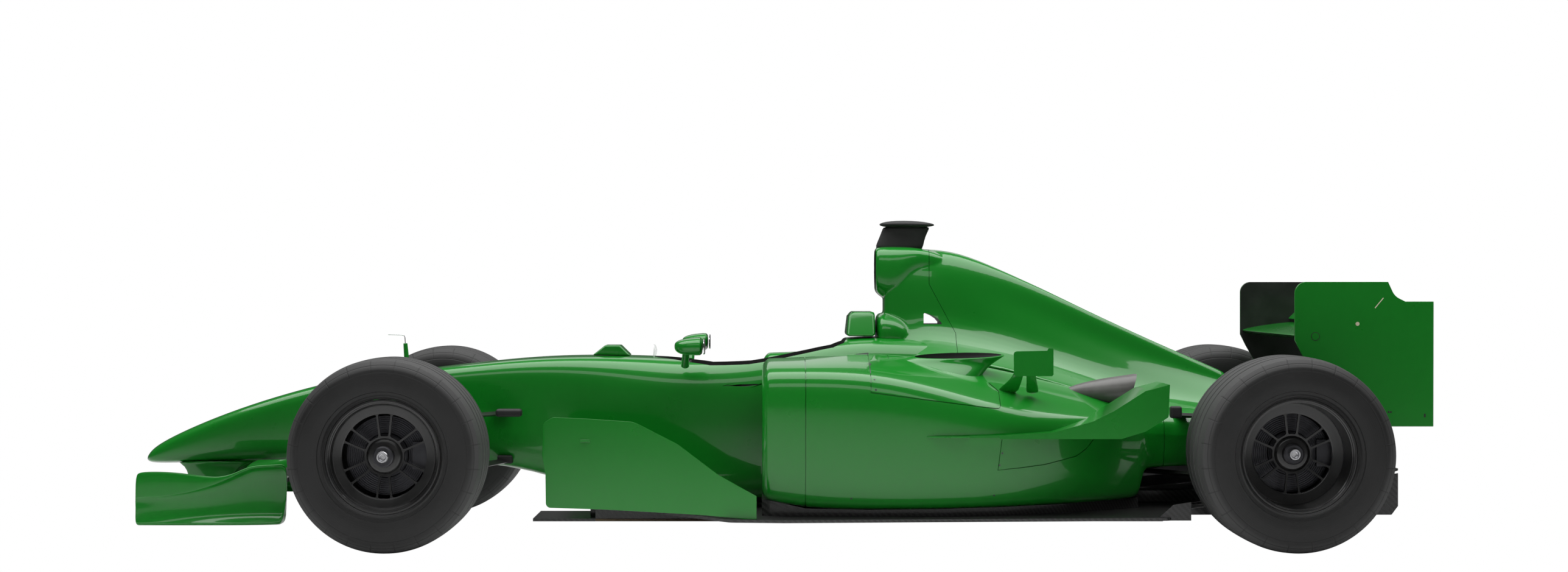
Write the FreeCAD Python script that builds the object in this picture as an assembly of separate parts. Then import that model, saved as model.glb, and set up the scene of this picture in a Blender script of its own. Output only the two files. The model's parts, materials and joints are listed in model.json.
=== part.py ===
import FreeCAD, Part
import math
import os

from FreeCAD import Vector

# Open wheel racing car, nose towards -X, its left side towards -Y, +Z up, origin on the ground.
# Lengths are millimetres and angles degrees. Tables of shares are parts of the sizes they follow.

# Car
overall_width = 1800.0
running_gap = 0.5
axle_gap = 0.9
seat_gap = 0.3
overrun = 20.0
tub_front_x = -1600.0
tub_length = 2250.0
front_axle_setback = 313.0
engine_length = 565.0
rear_axle_setback = 518.7
tub_rear_x = tub_front_x + tub_length
engine_x = tub_rear_x + seat_gap
front_axle_x = tub_front_x + front_axle_setback
rear_axle_x = engine_x + engine_length + rear_axle_setback

# Wheels
front_tyre_diameter = 650.0
front_tyre_width = 335.0
rear_tyre_diameter = 655.0
rear_tyre_width = 375.0
tyre_crown_drop = 11.0
tyre_shoulder_width = 46.0
tyre_side_bulge = 9.0
shoulder_drop_share = 0.75
bead_radius = 190.0
tyre_inner_radius = 186.3
rim_flange_radius = 186.0
rim_wall = 16.0
wheel_sides = 32
hub_sides = 16
rod_sides = 8
rim_side_inset = 18.0
front_face_recess = 45.0
rear_face_recess = 130.0
spoke_disc_thickness = 14.0
front_window_radius = 141.0
rear_window_radius = 133.0
window_inner_radius = 62.0
spoke_pair_count = 6
narrow_window_half_angle = 4.7
wide_window_half_angle = 10.5
window_centre_angle = 30.0
nut_radius = 36.0
nut_length = 26.0
hub_end_radius = 20.0
hub_end_length = 16.0
brake_disc_radius = 132.0
brake_disc_thickness = 28.0
brake_disc_inset = 40.0
disc_sides = 24
caliper_inner_reach = 88.0
caliper_reach = 152.0
caliper_half_height = 46.0
caliper_side = 14.0
caliper_gap = 6.0
caliper_arm_thickness = 20.0
caliper_arm_half_height = 20.0
spindle_radius = 26.0
half_shaft_radius = 20.0

# Steering
kingpin_inset = 250.0
kingpin_y = overall_width / 2 - kingpin_inset
kingpin_pin_radius = 8.0
kingpin_boss_radius = 15.0
kingpin_boss_height = 22.0
kingpin_height_spread = 208.0
knuckle_half_length = 24.0
knuckle_plate_width = 46.0
knuckle_hub_radius = 44.0
knuckle_hub_length = 60.0
steering_arm_reach = 75.0
steering_arm_thickness = 14.0
steering_arm_half_width = 14.0
steering_arm_drop = 30.0
track_rod_radius = 9.0
eye_height = 22.0
rod_hole_gap = 6.0

# Suspension arms
arm_chord = 52.0
arm_thickness = 17.0
web_thickness = 9.0
web_share = 0.24
front_leg_share = 0.85
front_boss_share = 1.6
rear_boss_share = 1.4
boss_sides = 10
front_pickup_spread = 330.0
front_upper_pickup_z = 432.0
front_lower_pickup_z = 262.0
front_pickup_y = 182.0
pickup_depth = 24.0
pushrod_chord = 36.0
blade_section_shares = [(-0.5, 0.0), (-0.22, 0.5), (0.15, 0.42), (0.5, 0.0), (0.15, -0.42), (-0.22, -0.5)]
pushrod_inset = 65.0
pushrod_outer_y = kingpin_y - pushrod_inset
pushrod_top_z = 545.0
pushrod_top_y = 150.0
rear_upright_inset = 288.0
rear_upright_y = overall_width / 2 - rear_upright_inset
rear_upright_height = 236.0
rear_upright_width = 52.0
rear_upright_length = 96.0
rear_front_leg_reach = 430.0
rear_back_leg_reach = 230.0
rear_upper_pickup_z = 430.0
rear_lower_pickup_z = 226.0
rear_pickup_y = 118.0
rear_back_pickup_share = 0.75
rear_arm_height_share = 0.44
rear_push_foot_share = 0.6
rear_push_head_share = 1.6
rear_push_drop_share = 0.3

# Monocoque
tub_base_z = 104.0
tub_height = 602.0
tub_top_z = tub_base_z + tub_height
tub_half_width = 262.0
tub_wall = 28.0
tub_low_corner = 46.0
tub_top_corner = 64.0
tub_station_shares = [
    (0.0, 0.256, 0.721, 0.61),
    (0.139, 0.246, 0.799, 0.68),
    (0.265, 0.231, 0.852, 0.75),
    (0.344, 0.168, 0.877, 0.80),
    (0.427, 0.060, 0.884, 0.86),
    (0.518, 0.0, 0.877, 0.935),
    (0.584, 0.0, 0.859, 0.97),
    (0.68, 0.0, 0.88, 1.0),
    (0.739, 0.0, 0.93, 1.0),
    (0.828, 0.0, 1.0, 1.0),
    (0.911, 0.0, 0.997, 0.98),
    (1.0, 0.0, 0.973, 0.92),
]
cavity_shares = [0.02, 0.139, 0.265, 0.344, 0.427, 0.518, 0.584, 0.68, 0.739, 0.828, 0.872]
corner_steps = 2
cockpit_setback = 1085.0
cockpit_front_x = tub_rear_x - cockpit_setback
cockpit_length = 697.0
cockpit_half_width = 218.0
cockpit_corner_radius = 55.0
cockpit_outline_shares = [(0.0, 0.44), (0.16, 0.87), (0.5, 1.0), (1.0, 0.94)]
cockpit_cut_depth = 190.0

# Front wing
front_plate_gap = 28.0
front_plate_length = 512.0
front_plate_x = front_axle_x - front_tyre_diameter / 2 - front_plate_gap - front_plate_length
front_wing_lead = 8.0
front_wing_lead_x = front_plate_x - front_wing_lead
front_wing_lead_z = 128.0
front_wing_chord = 300.0
front_wing_camber_drop = 46.0
front_wing_angle = 9.0
front_flap_chord = 150.0
front_flap_angle = 24.0
wing_thickness_share = 0.10
front_span_shares = [-1.0, -0.55, -0.18, 0.18, 0.55, 1.0]
front_drop_shares = [0.0, 0.1, 1.0, 1.0, 0.1, 0.0]
front_flap_shares = [(0.24, 1.0), (0.55, 0.1), (1.0, 0.0)]
wing_upper_shares = [(0.0, 0.0), (0.03, 0.14), (0.12, 0.24), (0.35, 0.30), (0.7, 0.25), (1.0, 0.10)]
wing_lower_shares = [(1.0, -0.05), (0.75, -0.45), (0.5, -0.80), (0.28, -0.95), (0.12, -0.75), (0.03, -0.35)]
front_plate_z = 79.0
front_plate_height = 207.0
front_plate_y = 700.0
front_plate_thickness = 9.0
front_plate_turn_in = 40.0
front_plate_bend_length = 98.0
front_plate_bend_steps = 4
front_wing_half_span = front_plate_y - front_plate_thickness - seat_gap
footplate_width = 70.0
footplate_thickness = 8.0
front_plate_shares = [
    (0.0, 0.0, 0.0),
    (0.962, 0.0, 0.0),
    (0.967, 0.48, 0.0),
    (1.0, 0.82, 0.0),
    (1.0, 1.0, 0.06),
    (0.75, 0.975, 0.0),
    (0.55, 0.797, 0.3),
    (0.325, 0.874, 0.0),
    (0.080, 0.908, 0.08),
    (0.008, 0.865, 0.05),
]

# Nose cone
nose_length = 678.0
nose_base_z = 242.0
nose_height = 296.0
nose_half_width = 160.0
nose_corner_share = 0.42
nose_station_shares = [
    (0.0, 0.034, 0.088, 0.34),
    (0.024, 0.010, 0.160, 0.55),
    (0.071, 0.003, 0.240, 0.66),
    (0.174, 0.007, 0.365, 0.75),
    (0.370, 0.027, 0.561, 0.82),
    (0.633, 0.047, 0.777, 0.905),
    (1.0, 0.054, 1.0, 0.997),
]
pylon_setback = 38.0
pylon_front_x = front_plate_x + pylon_setback
pylon_chord = 146.0
pylon_thickness = 12.0
pylon_y = 92.0
pylon_sink = 24.0

# Small pieces on top of the nose and tub
bump_lead = 228.0
bump_x = cockpit_front_x - bump_lead
bump_length = 145.0
bump_height = 40.0
bump_half_width = 62.0
screen_lead = 17.0
screen_x = cockpit_front_x - screen_lead
screen_height = 44.0
screen_half_width = 118.0
screen_bow = 70.0
screen_thickness = 4.0
screen_base_share = 0.877
bump_shares = [(0.0, 0.0, 0.0), (0.35, 1.0, 0.2), (0.72, 1.0, 0.2), (1.0, 0.0, 0.0)]
mast_lead = 68.0
mast_x = front_axle_x - mast_lead
mast_chord = 26.0
mast_thickness = 12.0
mast_height = 96.0
pitot_radius = 3.0
pitot_height = 34.0
pitot_reach = 62.0

# Bargeboards
floor_lead = 205.0
floor_front_x = cockpit_front_x - floor_lead
bargeboard_lead = 160.0
bargeboard_x = floor_front_x - bargeboard_lead
bargeboard_length = 743.0
bargeboard_z = 95.0
bargeboard_height = 339.0
bargeboard_thickness = 8.0
bargeboard_front_y = 474.0
bargeboard_rear_y = 664.0
bargeboard_bow = 20.0
bargeboard_steps = 6
stay_share = 0.18
stay_rise_share = 0.75
stay_root_share = 0.80
bargeboard_shares = [
    (0.0, 0.60, 0.0),
    (0.003, 0.94, 0.06),
    (0.050, 1.0, 0.03),
    (0.190, 0.99, 0.0),
    (0.430, 0.962, 0.25),
    (0.635, 0.743, 0.30),
    (0.825, 0.442, 0.25),
    (1.0, 0.239, 0.0),
    (1.0, 0.0, 0.0),
    (0.76, 0.035, 0.0),
    (0.29, 0.068, 0.0),
    (0.017, 0.077, 0.05),
    (0.015, 0.42, 0.0),
]
stay_height = 34.0
stay_thickness = 8.0

# Floor
floor_rear_lead = 321.0
floor_rear_x = rear_axle_x - floor_rear_lead
plank_rear_gap = 13.0
plank_x = floor_front_x
plank_length = floor_rear_x - plank_rear_gap - plank_x
plank_half_width = 150.0
plank_z = 42.0
plank_thickness = 10.0
step_height = 35.0
floor_rake = 13.0
rake_share = 0.2
floor_thickness = 10.0
pod_inset = 208.0
pod_half_width = overall_width / 2 - pod_inset
floor_edge = 2.0
floor_half_width = pod_half_width + floor_edge
rear_body_gap = 25.0
rear_body_half_width = overall_width / 2 - rear_tyre_width - rear_body_gap
floor_outline_shares = [
    (0.0, 0.22, 0.0),
    (0.085, 0.36, 0.05),
    (0.24, 0.955, 0.05),
    (0.33, 1.0, 0.08),
    (0.965, 1.0, 0.05),
]
tray_length = 225.0
tray_half_width = 150.0
tray_thickness = 10.0
tray_post_share = 0.12
fence_setback = 123.0
fence_x = floor_rear_x - fence_setback
fence_length = 120.0
fence_height = 62.0
fence_place_share = 0.985
fence_shares = [(0.0, 0.0), (1.0, 0.0), (1.0, 1.0), (0.5, 0.85)]
diffuser_tail = 434.0
diffuser_rear_x = rear_axle_x + diffuser_tail
diffuser_side_gap = 50.0
diffuser_half_width = rear_body_half_width - diffuser_side_gap
diffuser_rise = 150.0
diffuser_thickness = 8.0
diffuser_plate_z = 94.0
diffuser_plate_height = 152.0
diffuser_strake_count = 4
diffuser_bend_share = 0.45
diffuser_bend_rise_share = 0.28
diffuser_plate_shares = [
    (0.0, 0.0, 0.0),
    (0.97, 0.0, 0.0),
    (1.0, 0.2, 0.0),
    (1.0, 0.95, 0.0),
    (0.4, 0.36, 0.3),
    (0.0, 0.12, 0.0),
]

# Sidepods
pod_setback = 395.0
pod_front_x = cockpit_front_x + pod_setback
pod_rear_lead = 449.0
pod_rear_x = rear_axle_x - pod_rear_lead
pod_length = pod_rear_x - pod_front_x
pod_base_z = 120.0
pod_height = 535.0
pod_top_z = pod_base_z + pod_height
pod_tub_gap = 4.0
pod_inner_y = tub_half_width + pod_tub_gap
pod_wall = 16.0
pod_inlet_depth = 330.0
pod_tray_share = 0.84
pod_section_shares = [
    (0.0, 0.0, 0.118, 0.905, 0.930, 0.905),
    (0.115, 0.0, 0.060, 0.950, 0.945, 0.920),
    (0.28, 0.0, 0.055, 0.985, 0.985, 0.915),
    (0.455, 0.03, 0.060, 0.990, 0.960, 0.820),
    (0.62, 0.12, 0.070, 0.960, 0.905, 0.695),
    (0.78, 0.28, 0.078, 0.850, 0.800, 0.638),
    (0.90, 0.45, 0.085, 0.700, 0.720, 0.605),
    (1.0, 0.60, 0.092, 0.550, 0.650, 0.580),
]
pod_tail_shares = [
    (1.015, 0.62, 0.290, 0.530, 0.645, 0.574),
    (1.12, 0.72, 0.290, 0.430, 0.625, 0.550),
    (1.25, 0.85, 0.300, 0.335, 0.600, 0.520),
]
pod_mouth_share = -0.02
pod_low_share = 0.05
pod_top_share = 1.04
pod_waist_share = 0.35
pod_spot_shares = [(0.62, 0.65), (0.955, 0.965), (1.0, 0.86), (0.975, 0.90)]
radiator_thickness = 46.0

# Engine cover and roll structure
hoop_lead = 283.0
hoop_x = tub_rear_x - hoop_lead
hoop_length = 290.0
hoop_sink = 16.0
hoop_z = tub_top_z - hoop_sink
hoop_height = 341.0
cover_lead = 90.0
cover_front_x = tub_rear_x - cover_lead
cover_rear_lead = 64.0
cover_length = rear_axle_x - cover_rear_lead - cover_front_x
cover_base_drop = 266.0
cover_base_z = tub_top_z - cover_base_drop
cover_drop = 6.0
cover_height = hoop_z + hoop_height - cover_drop - cover_base_z
cover_half_width = 234.0
cover_side_gap = 1.5
cover_sink = 8.0
cover_station_shares = [
    (0.0, 1.0, 0.50, 0.47),
    (0.10, 0.985, 0.46, 0.40),
    (0.235, 0.877, 0.40, 0.23),
    (0.30, 0.821, 0.38, 0.19),
    (0.392, 0.742, 0.36, 0.15),
    (0.53, 0.613, 0.35, 0.115),
    (0.653, 0.505, 0.36, 0.10),
    (0.672, 0.488, 0.36, 0.10),
    (0.796, 0.381, 0.38, 0.10),
    (0.951, 0.252, 0.44, 0.115),
    (1.0, 0.215, 0.46, 0.12),
]
cover_skirt_share = 0.93
cover_skirt_rise_share = 0.05
cover_neck_rise_share = 0.30
cover_crown_rise_share = 0.72
cover_cap_share = 0.62
cover_cap_rise_share = 0.955
hoop_side_shares = [
    (0.02, 0.0, 0.0),
    (0.02, 0.285, 0.0),
    (0.11, 0.36, 0.03),
    (0.11, 0.43, 0.03),
    (0.0, 0.50, 0.03),
    (0.0, 0.985, 0.02),
    (0.10, 1.0, 0.05),
    (0.665, 0.975, 0.0),
    (0.655, 0.63, 0.08),
    (0.97, 0.065, 0.08),
    (0.975, 0.0, 0.0),
]
hoop_front_shares = [
    (1.0, 0.0, 0.0),
    (0.95, 0.06, 0.05),
    (0.42, 0.22, 0.18),
    (0.34, 0.40, 0.12),
    (0.50, 0.55, 0.12),
    (0.50, 0.80, 0.12),
    (0.24, 1.0, 0.12),
]
inlet_wall = 12.0
inlet_depth = 170.0
inlet_low_share = 0.50
hoop_width_share = 0.9
inlet_width_share = 0.45
inlet_shares = [(-0.75, 0.0), (0.75, 0.0), (1.0, 0.5), (0.5, 1.0), (-0.5, 1.0), (-1.0, 0.5)]
joint_shares = [(0.975, 0.06), (0.655, 0.63)]
window_setback = 168.0
window_x = hoop_x + window_setback
window_length = 68.0
window_rise = 59.0
window_z = hoop_z + window_rise
window_height = 44.0
window_shares = [(0.0, 0.0, 0.0), (1.0, 0.0, 0.0), (0.9, 0.6, 0.25), (0.0, 1.0, 0.25)]
headrest_x = cockpit_front_x + cockpit_length
headrest_length = 104.0
headrest_height = 88.0
headrest_half_width = 150.0
headrest_side_shares = [
    (0.0, 0.0, 0.0),
    (0.07, 0.8, 0.0),
    (0.20, 1.0, 0.15),
    (1.0, 1.0, 0.0),
    (1.0, 0.0, 0.0),
]
headrest_top_share = 0.7
headrest_corner_share = 0.3
camera_setback = 4.0
camera_foot_x = hoop_x + camera_setback
camera_foot_length = 173.0
camera_foot_height = 66.0
camera_foot_lean = 30.0
camera_foot_half_width = 20.0
camera_head_setback = 14.0
camera_head_x = camera_foot_x + camera_head_setback
camera_head_length = 205.0
camera_head_height = 29.0
camera_head_half_width = 52.0
camera_head_shares = [(0.0, 0.35, 0.2), (0.25, 0.0, 0.3), (1.0, 0.0, 0.1), (1.0, 1.0, 0.1), (0.3, 1.0, 0.3)]

# Chimneys, winglets, exhausts and flip-ups
chimney_setback = 449.0
chimney_x = pod_front_x + chimney_setback
chimney_length = 403.0
chimney_sink = 95.0
chimney_z = pod_top_z - chimney_sink
chimney_height = 88.0
chimney_place_share = 0.3146
chimney_y = pod_inner_y + (pod_half_width - pod_inner_y) * chimney_place_share
chimney_half_width = 62.0
chimney_wall = 5.0
chimney_side_shares = [
    (0.0, 0.0, 0.0),
    (0.0, 0.42, 0.0),
    (0.196, 1.0, 0.25),
    (1.0, 1.0, 0.0),
    (0.90, 0.60, 0.4),
    (0.70, 0.0, 0.0),
]
chimney_hollow_shares = [(0.22, 0.3, 0.0), (0.24, 1.4, 0.0), (0.93, 1.4, 0.0), (0.70, 0.3, 0.0)]
winglet_setback = 862.0
winglet_x = pod_front_x + winglet_setback
winglet_length = 137.0
winglet_sink = 76.0
winglet_z = pod_top_z - winglet_sink
winglet_height = 89.0
winglet_inset = 132.0
winglet_y = pod_half_width - winglet_inset
winglet_thickness = 6.0
winglet_reach = 230.0
winglet_shares = [
    (0.0, 0.35, 0.25),
    (0.0, 1.0, 0.0),
    (0.85, 1.0, 0.0),
    (1.0, 1.1, 0.0),
    (1.0, 0.0, 0.0),
    (0.22, 0.0, 0.25),
]
winglet_head_share = 0.55
winglet_root_share = 0.3
winglet_chord_share = 0.8
winglet_root_y = winglet_y - winglet_reach
exhaust_lead = 263.0
exhaust_x = pod_rear_x - exhaust_lead
exhaust_length = 280.0
exhaust_sink = 189.0
exhaust_z = pod_top_z - exhaust_sink
exhaust_height = 113.0
exhaust_y = 300.0
exhaust_half_width = 52.0
exhaust_shares = [(0.0, 0.42, 0.1), (0.91, 1.0, 0.0), (1.0, 0.44, 0.0), (0.71, 0.0, 0.2)]
exhaust_mouth_share = 0.955
exhaust_mouth_rise_share = 0.66
exhaust_slope_share = 0.35
exhaust_start_share = 0.2
flip_lead = 766.0
flip_x = pod_rear_x - flip_lead
flip_length = 818.0
flip_rise = 252.0
flip_z = pod_base_z + flip_rise
flip_height = 183.0
flip_inset = 8.0
flip_y = pod_half_width - flip_inset
flip_thickness = 8.0
flip_root_share = 0.60
flip_ramp_shares = [
    (0.0, 0.055),
    (0.30, 0.066),
    (0.52, 0.12),
    (0.683, 0.322),
    (0.77, 0.515),
    (0.90, 0.88),
    (1.0, 1.0),
]
flip_plate_shares = [
    (0.30, 0.0, 0.0),
    (0.294, 0.066, 0.0),
    (0.52, 0.12, 0.0),
    (0.683, 0.322, 0.10),
    (0.77, 0.515, 0.0),
    (0.90, 0.885, 0.06),
    (1.0, 1.0, 0.0),
    (0.994, 0.40, 0.04),
    (0.90, 0.137, 0.06),
    (0.80, 0.0, 0.06),
]

# Rear wing
rear_plate_setback = 65.0
rear_plate_x = rear_axle_x + rear_plate_setback
rear_plate_z = 403.0
rear_plate_length = 479.0
rear_plate_height = 499.0
rear_plate_y = rear_body_half_width
rear_plate_thickness = 12.0
rear_plate_shares = [
    (0.0, 0.597, 0.0),
    (0.0, 1.0, 0.08),
    (0.672, 1.0, 0.0),
    (0.72, 0.90, 0.10),
    (0.797, 0.864, 0.0),
    (1.0, 0.864, 0.0),
    (0.998, 0.0, 0.0),
    (0.35, 0.0, 0.0),
    (0.044, 0.511, 0.0),
]
rear_main_lead = 8.0
rear_main_chord = 194.0
rear_main_z = 716.0
rear_main_angle = 9.0
rear_flap_chord = 125.0
rear_flap_angle = 41.0
rear_wing_thickness_share = 0.12
beam_chord = 230.0
beam_z = 430.0
beam_angle = 10.0
beam_lead_share = 0.42
wing_slot = 14.0

# Drive train and tail
engine_half_width = 190.0
engine_height = 330.0
engine_shoulder_share = 0.8
engine_top_share = 0.7
gearbox_tail = 281.6
gearbox_x = engine_x + engine_length + seat_gap
gearbox_length = rear_axle_x + gearbox_tail - gearbox_x
gearbox_front_half = 150.0
gearbox_rear_half = 82.0
gearbox_base_z = 150.0
gearbox_rear_base_z = 236.0
output_y = 128.0
output_radius = 36.0
gearbox_front_height = 290.0
gearbox_rear_height = 128.0
gearbox_corner_share = 0.3
crash_root_share = 1.4
beam_post_share = 0.5
beam_post_end_share = 0.62
crash_length = 200.0
crash_half_width = 48.0
crash_height = 110.0
crash_z = 262.0
rain_light_half_width = 38.0
rain_light_height = 76.0
rain_light_depth = 12.0

# Mirrors
mirror_setback = 190.0
mirror_x = cockpit_front_x + mirror_setback
mirror_reach = 90.0
mirror_y = tub_half_width + mirror_reach
mirror_drop = 31.0
mirror_z = tub_top_z - mirror_drop
mirror_length = 103.0
mirror_half_width = 80.0
mirror_half_height = 34.0
mirror_ring_shares = [(0.0, 1.0), (0.35, 0.95), (0.68, 0.75), (0.9, 0.44), (1.0, 0.14)]
glass_width_share = 0.86
glass_height_share = 0.78
glass_corner_share = 0.7
mirror_glass_thickness = 3.0
mirror_stem_radius = 7.0
mirror_sides = 12

# Cockpit furniture
seat_setback = 105.0
seat_x = cockpit_front_x + seat_setback
seat_length = 520.0
seat_height = 470.0
seat_half_width = 204.0
seat_shell = 9.0
seat_side_shares = [
    (0.0, 0.0, 0.0),
    (0.0, 0.20, 0.06),
    (0.40, 0.30, 0.20),
    (0.78, 1.0, 0.06),
    (0.97, 1.0, 0.02),
    (0.66, 0.10, 0.12),
    (0.52, 0.0, 0.0),
]
seat_pocket_shares = [
    (-0.04, 0.0, 0.0),
    (-0.04, 1.2, 0.0),
    (1.04, 1.2, 0.0),
    (0.66, 0.10, 0.12),
    (0.52, 0.0, 0.0),
]
wheel_setback = 135.0
wheel_centre_x = cockpit_front_x + wheel_setback
wheel_drop = 166.0
wheel_centre_z = tub_top_z - wheel_drop
steering_wheel_half_width = 132.0
steering_wheel_half_height = 72.0
steering_wheel_thickness = 26.0
column_radius = 14.0
column_length = 330.0
column_tilt = 13.0
column_bracket_thickness = 22.0
column_bracket_half_width = 34.0
bracket_place_share = 0.75
bracket_top_share = 0.86
wheel_corner_share = 0.5
grip_place_share = 0.62
grip_width_share = 0.16
grip_height_share = 0.55
grip_corner_share = 0.15

def flat_face(spots):
    return Part.Face(Part.makePolygon(spots + [spots[0]]))


def corner_wire(points, place):
    """Closed wire through corner points (a, b, radius), each corner rounded where its radius isn't zero."""
    count = len(points)
    starts = []
    ends = []
    middles = []
    for i in range(count):
        a, b, radius = points[i]
        here = Vector(a, b, 0)
        before = Vector(points[i - 1][0], points[i - 1][1], 0) - here
        after = Vector(points[(i + 1) % count][0], points[(i + 1) % count][1], 0) - here
        before.normalize()
        after.normalize()
        if radius <= 0:
            starts.append(here)
            ends.append(here)
            middles.append(None)
            continue
        half = before.getAngle(after) / 2
        reach = radius / math.tan(half)
        inward = before + after
        inward.normalize()
        centre = here + inward * (radius / math.sin(half))
        starts.append(here + before * reach)
        ends.append(here + after * reach)
        middles.append(centre - inward * radius)
    edges = []
    for i in range(count):
        if middles[i] is not None:
            arc = Part.Arc(place(starts[i]), place(middles[i]), place(ends[i]))
            edges.append(arc.toShape())
        start = place(ends[i])
        end = place(starts[(i + 1) % count])
        if start.distanceToPoint(end) > seat_gap / 10:
            edges.append(Part.LineSegment(start, end).toShape())
    return Part.Wire(edges)


def on_xz(y):
    return lambda p: Vector(p.x, y, p.y)


def on_xy(z):
    return lambda p: Vector(p.x, p.y, z)


def on_yz(x):
    return lambda p: Vector(x, p.x, p.y)


def prism(points, place, push):
    return Part.Face(corner_wire(points, place)).extrude(push)


def block(points, place, push):
    """Like prism, with each rounded corner cut in steps."""
    return flat_face(corner_ring(points, place, corner_steps)).extrude(push)


def plate_points(shares, x, length, z, height):
    return [(x + length * a, z + height * b, height * r) for a, b, r in shares]


def side_plate(shares, x, length, z, height, y, thickness):
    """Flat plate in the XZ plane on the left side, its outer face at -y and its thickness inwards."""
    points = plate_points(shares, x, length, z, height)
    return prism(points, on_xz(-y), Vector(0, thickness, 0))


def mirrored(shape):
    return shape.mirror(Vector(0, 0, 0), Vector(0, 1, 0))


def both(shape):
    return [shape, mirrored(shape)]


def box(x0, x1, y0, y1, z0, z1):
    return Part.makeBox(x1 - x0, y1 - y0, z1 - z0, Vector(x0, y0, z0))


def rod(start, end, radius):
    way = end - start
    return Part.makeCylinder(radius, way.Length, start, way)


def bar(start, end, radius, sides):
    """Many-sided bar from start to end."""
    way = end - start
    across = way.cross(Vector(0, 1, 0))
    if across.Length < way.Length / 2:
        across = way.cross(Vector(1, 0, 0))
    across.normalize()
    up = way.cross(across)
    up.normalize()
    ring = []
    for k in range(sides):
        turn = 2 * math.pi * k / sides
        ring.append(start + across * (radius * math.cos(turn)) + up * (radius * math.sin(turn)))
    return flat_face(ring).extrude(way)


def ring(outer, inner, start, way):
    """Tube along way from start; its length is way's."""
    body = Part.makeCylinder(outer, way.Length, start, way)
    return body.cut(Part.makeCylinder(inner, way.Length, start, way))


def blade(start, end, chord, thickness):
    """Streamlined arm from start to end: a lens section with its chord along X."""
    way = end - start
    chord_way = Vector(1, 0, 0) - way * (way.x / way.Length ** 2)
    chord_way.normalize()
    thin_way = way.cross(chord_way)
    thin_way.normalize()
    section = []
    for along, across in blade_section_shares:
        section.append(start + chord_way * (chord * along) + thin_way * (thickness * across))
    return flat_face(section).extrude(way)


def corner_ring(points, place, steps):
    """Points round a closed outline of corners (a, b, radius), each corner cut into a number of steps."""
    ring = []
    count = len(points)
    for i in range(count):
        a, b, radius = points[i]
        here = Vector(a, b, 0)
        before = Vector(points[i - 1][0], points[i - 1][1], 0) - here
        after = Vector(points[(i + 1) % count][0], points[(i + 1) % count][1], 0) - here
        before.normalize()
        after.normalize()
        if radius <= 0:
            ring.append(place(here))
            continue
        half = before.getAngle(after) / 2
        reach = radius / math.tan(half)
        for k in range(steps + 1):
            part = k / steps
            first = here + before * (reach * (1 - part))
            second = here + after * (reach * part)
            ring.append(place(first + (second - first) * part))
    return ring


def smooth_ring(spots, steps):
    """Points along a smooth line through the spots, a number of steps between each two."""
    curve = Part.BSplineCurve()
    curve.interpolate(spots)
    low, high = curve.FirstParameter, curve.LastParameter
    count = (len(spots) - 1) * steps
    return [curve.value(low + (high - low) * k / count) for k in range(count + 1)]


def sewn(faces):
    shell = Part.makeShell(faces)
    shell.sewShape()
    solid = Part.makeSolid(shell)
    if solid.Volume < 0:
        solid.reverse()
    return solid


def skin(rings):
    """Solid through rings with equal numbers of points: flat triangles between rings, flat ends."""
    faces = [flat_face(rings[0]), flat_face(rings[-1])]
    for ring, after in zip(rings, rings[1:]):
        for i in range(len(ring)):
            j = (i + 1) % len(ring)
            faces.append(flat_face([ring[i], ring[j], after[j]]))
            faces.append(flat_face([ring[i], after[j], after[i]]))
    return sewn(faces)


def wheel_ring(centre, radius, sides):
    """Many-sided ring about a line along Y, one of its flats level underneath at the radius."""
    reach = radius / math.cos(math.pi / sides)
    angles = [math.pi * (2 * k + 1) / sides - math.pi / 2 for k in range(sides)]
    return [centre + Vector(reach * math.cos(a), 0, reach * math.sin(a)) for a in angles]


def turned(points, x, z, sides):
    """Ring-shaped solid about the axle, with many flat sides; points are (outward distance, radius)."""
    rings = [wheel_ring(Vector(x, -a, z), r, sides) for a, r in points]
    faces = []
    for ring, after in zip(rings, rings[1:] + rings[:1]):
        for i in range(sides):
            j = (i + 1) % sides
            faces.append(flat_face([ring[i], ring[j], after[j], after[i]]))
    return sewn(faces)


def turned_bar(radius, start_y, end_y, x, z, sides):
    ring = wheel_ring(Vector(x, -start_y, z), radius, sides)
    return flat_face(ring).extrude(Vector(0, start_y - end_y, 0))


def fuse_all(shapes):
    whole = shapes[0].fuse(shapes[1:])
    return whole.removeSplitter()


def trimmed(piece, *carriers):
    """Piece cut where it meets what carries it; only its largest stretch is kept."""
    for carrier in carriers:
        piece = max(piece.cut(carrier).Solids, key=lambda solid: solid.Volume)
    return piece


def export(name, *shapes):
    solids = []
    for shape in shapes:
        solids.extend(shape.Solids)
    for solid in solids:
        if not solid.isValid() or solid.Volume <= 0:
            print("bad solid in", name)
    whole = solids[0] if len(solids) == 1 else Part.makeCompound(solids)
    whole.exportStep("parts/" + name + ".step")
    print(name, len(solids))


def station(table, share):
    """Row of a station table at a share of the length, straight between the rows either side."""
    for low, high in zip(table, table[1:]):
        if share <= high[0]:
            part = (share - low[0]) / (high[0] - low[0])
            return [a + (b - a) * part for a, b in zip(low, high)]
    return list(table[-1])


def tub_section(share, inset):
    row = station(tub_station_shares, share)
    low = tub_base_z + tub_height * row[1] + inset
    high = tub_base_z + tub_height * row[2] - inset
    half = tub_half_width * row[3] - inset
    under = tub_low_corner - inset / 2
    over = tub_top_corner - inset / 2
    points = [(-half, low, under), (half, low, under), (half, high, over), (-half, high, over)]
    return corner_ring(points, on_yz(tub_front_x + tub_length * share), corner_steps)


def make_tub_form():
    """Outer form of the monocoque, solid."""
    shares = [row[0] for row in tub_station_shares]
    return skin([tub_section(s, 0) for s in shares])


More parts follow.
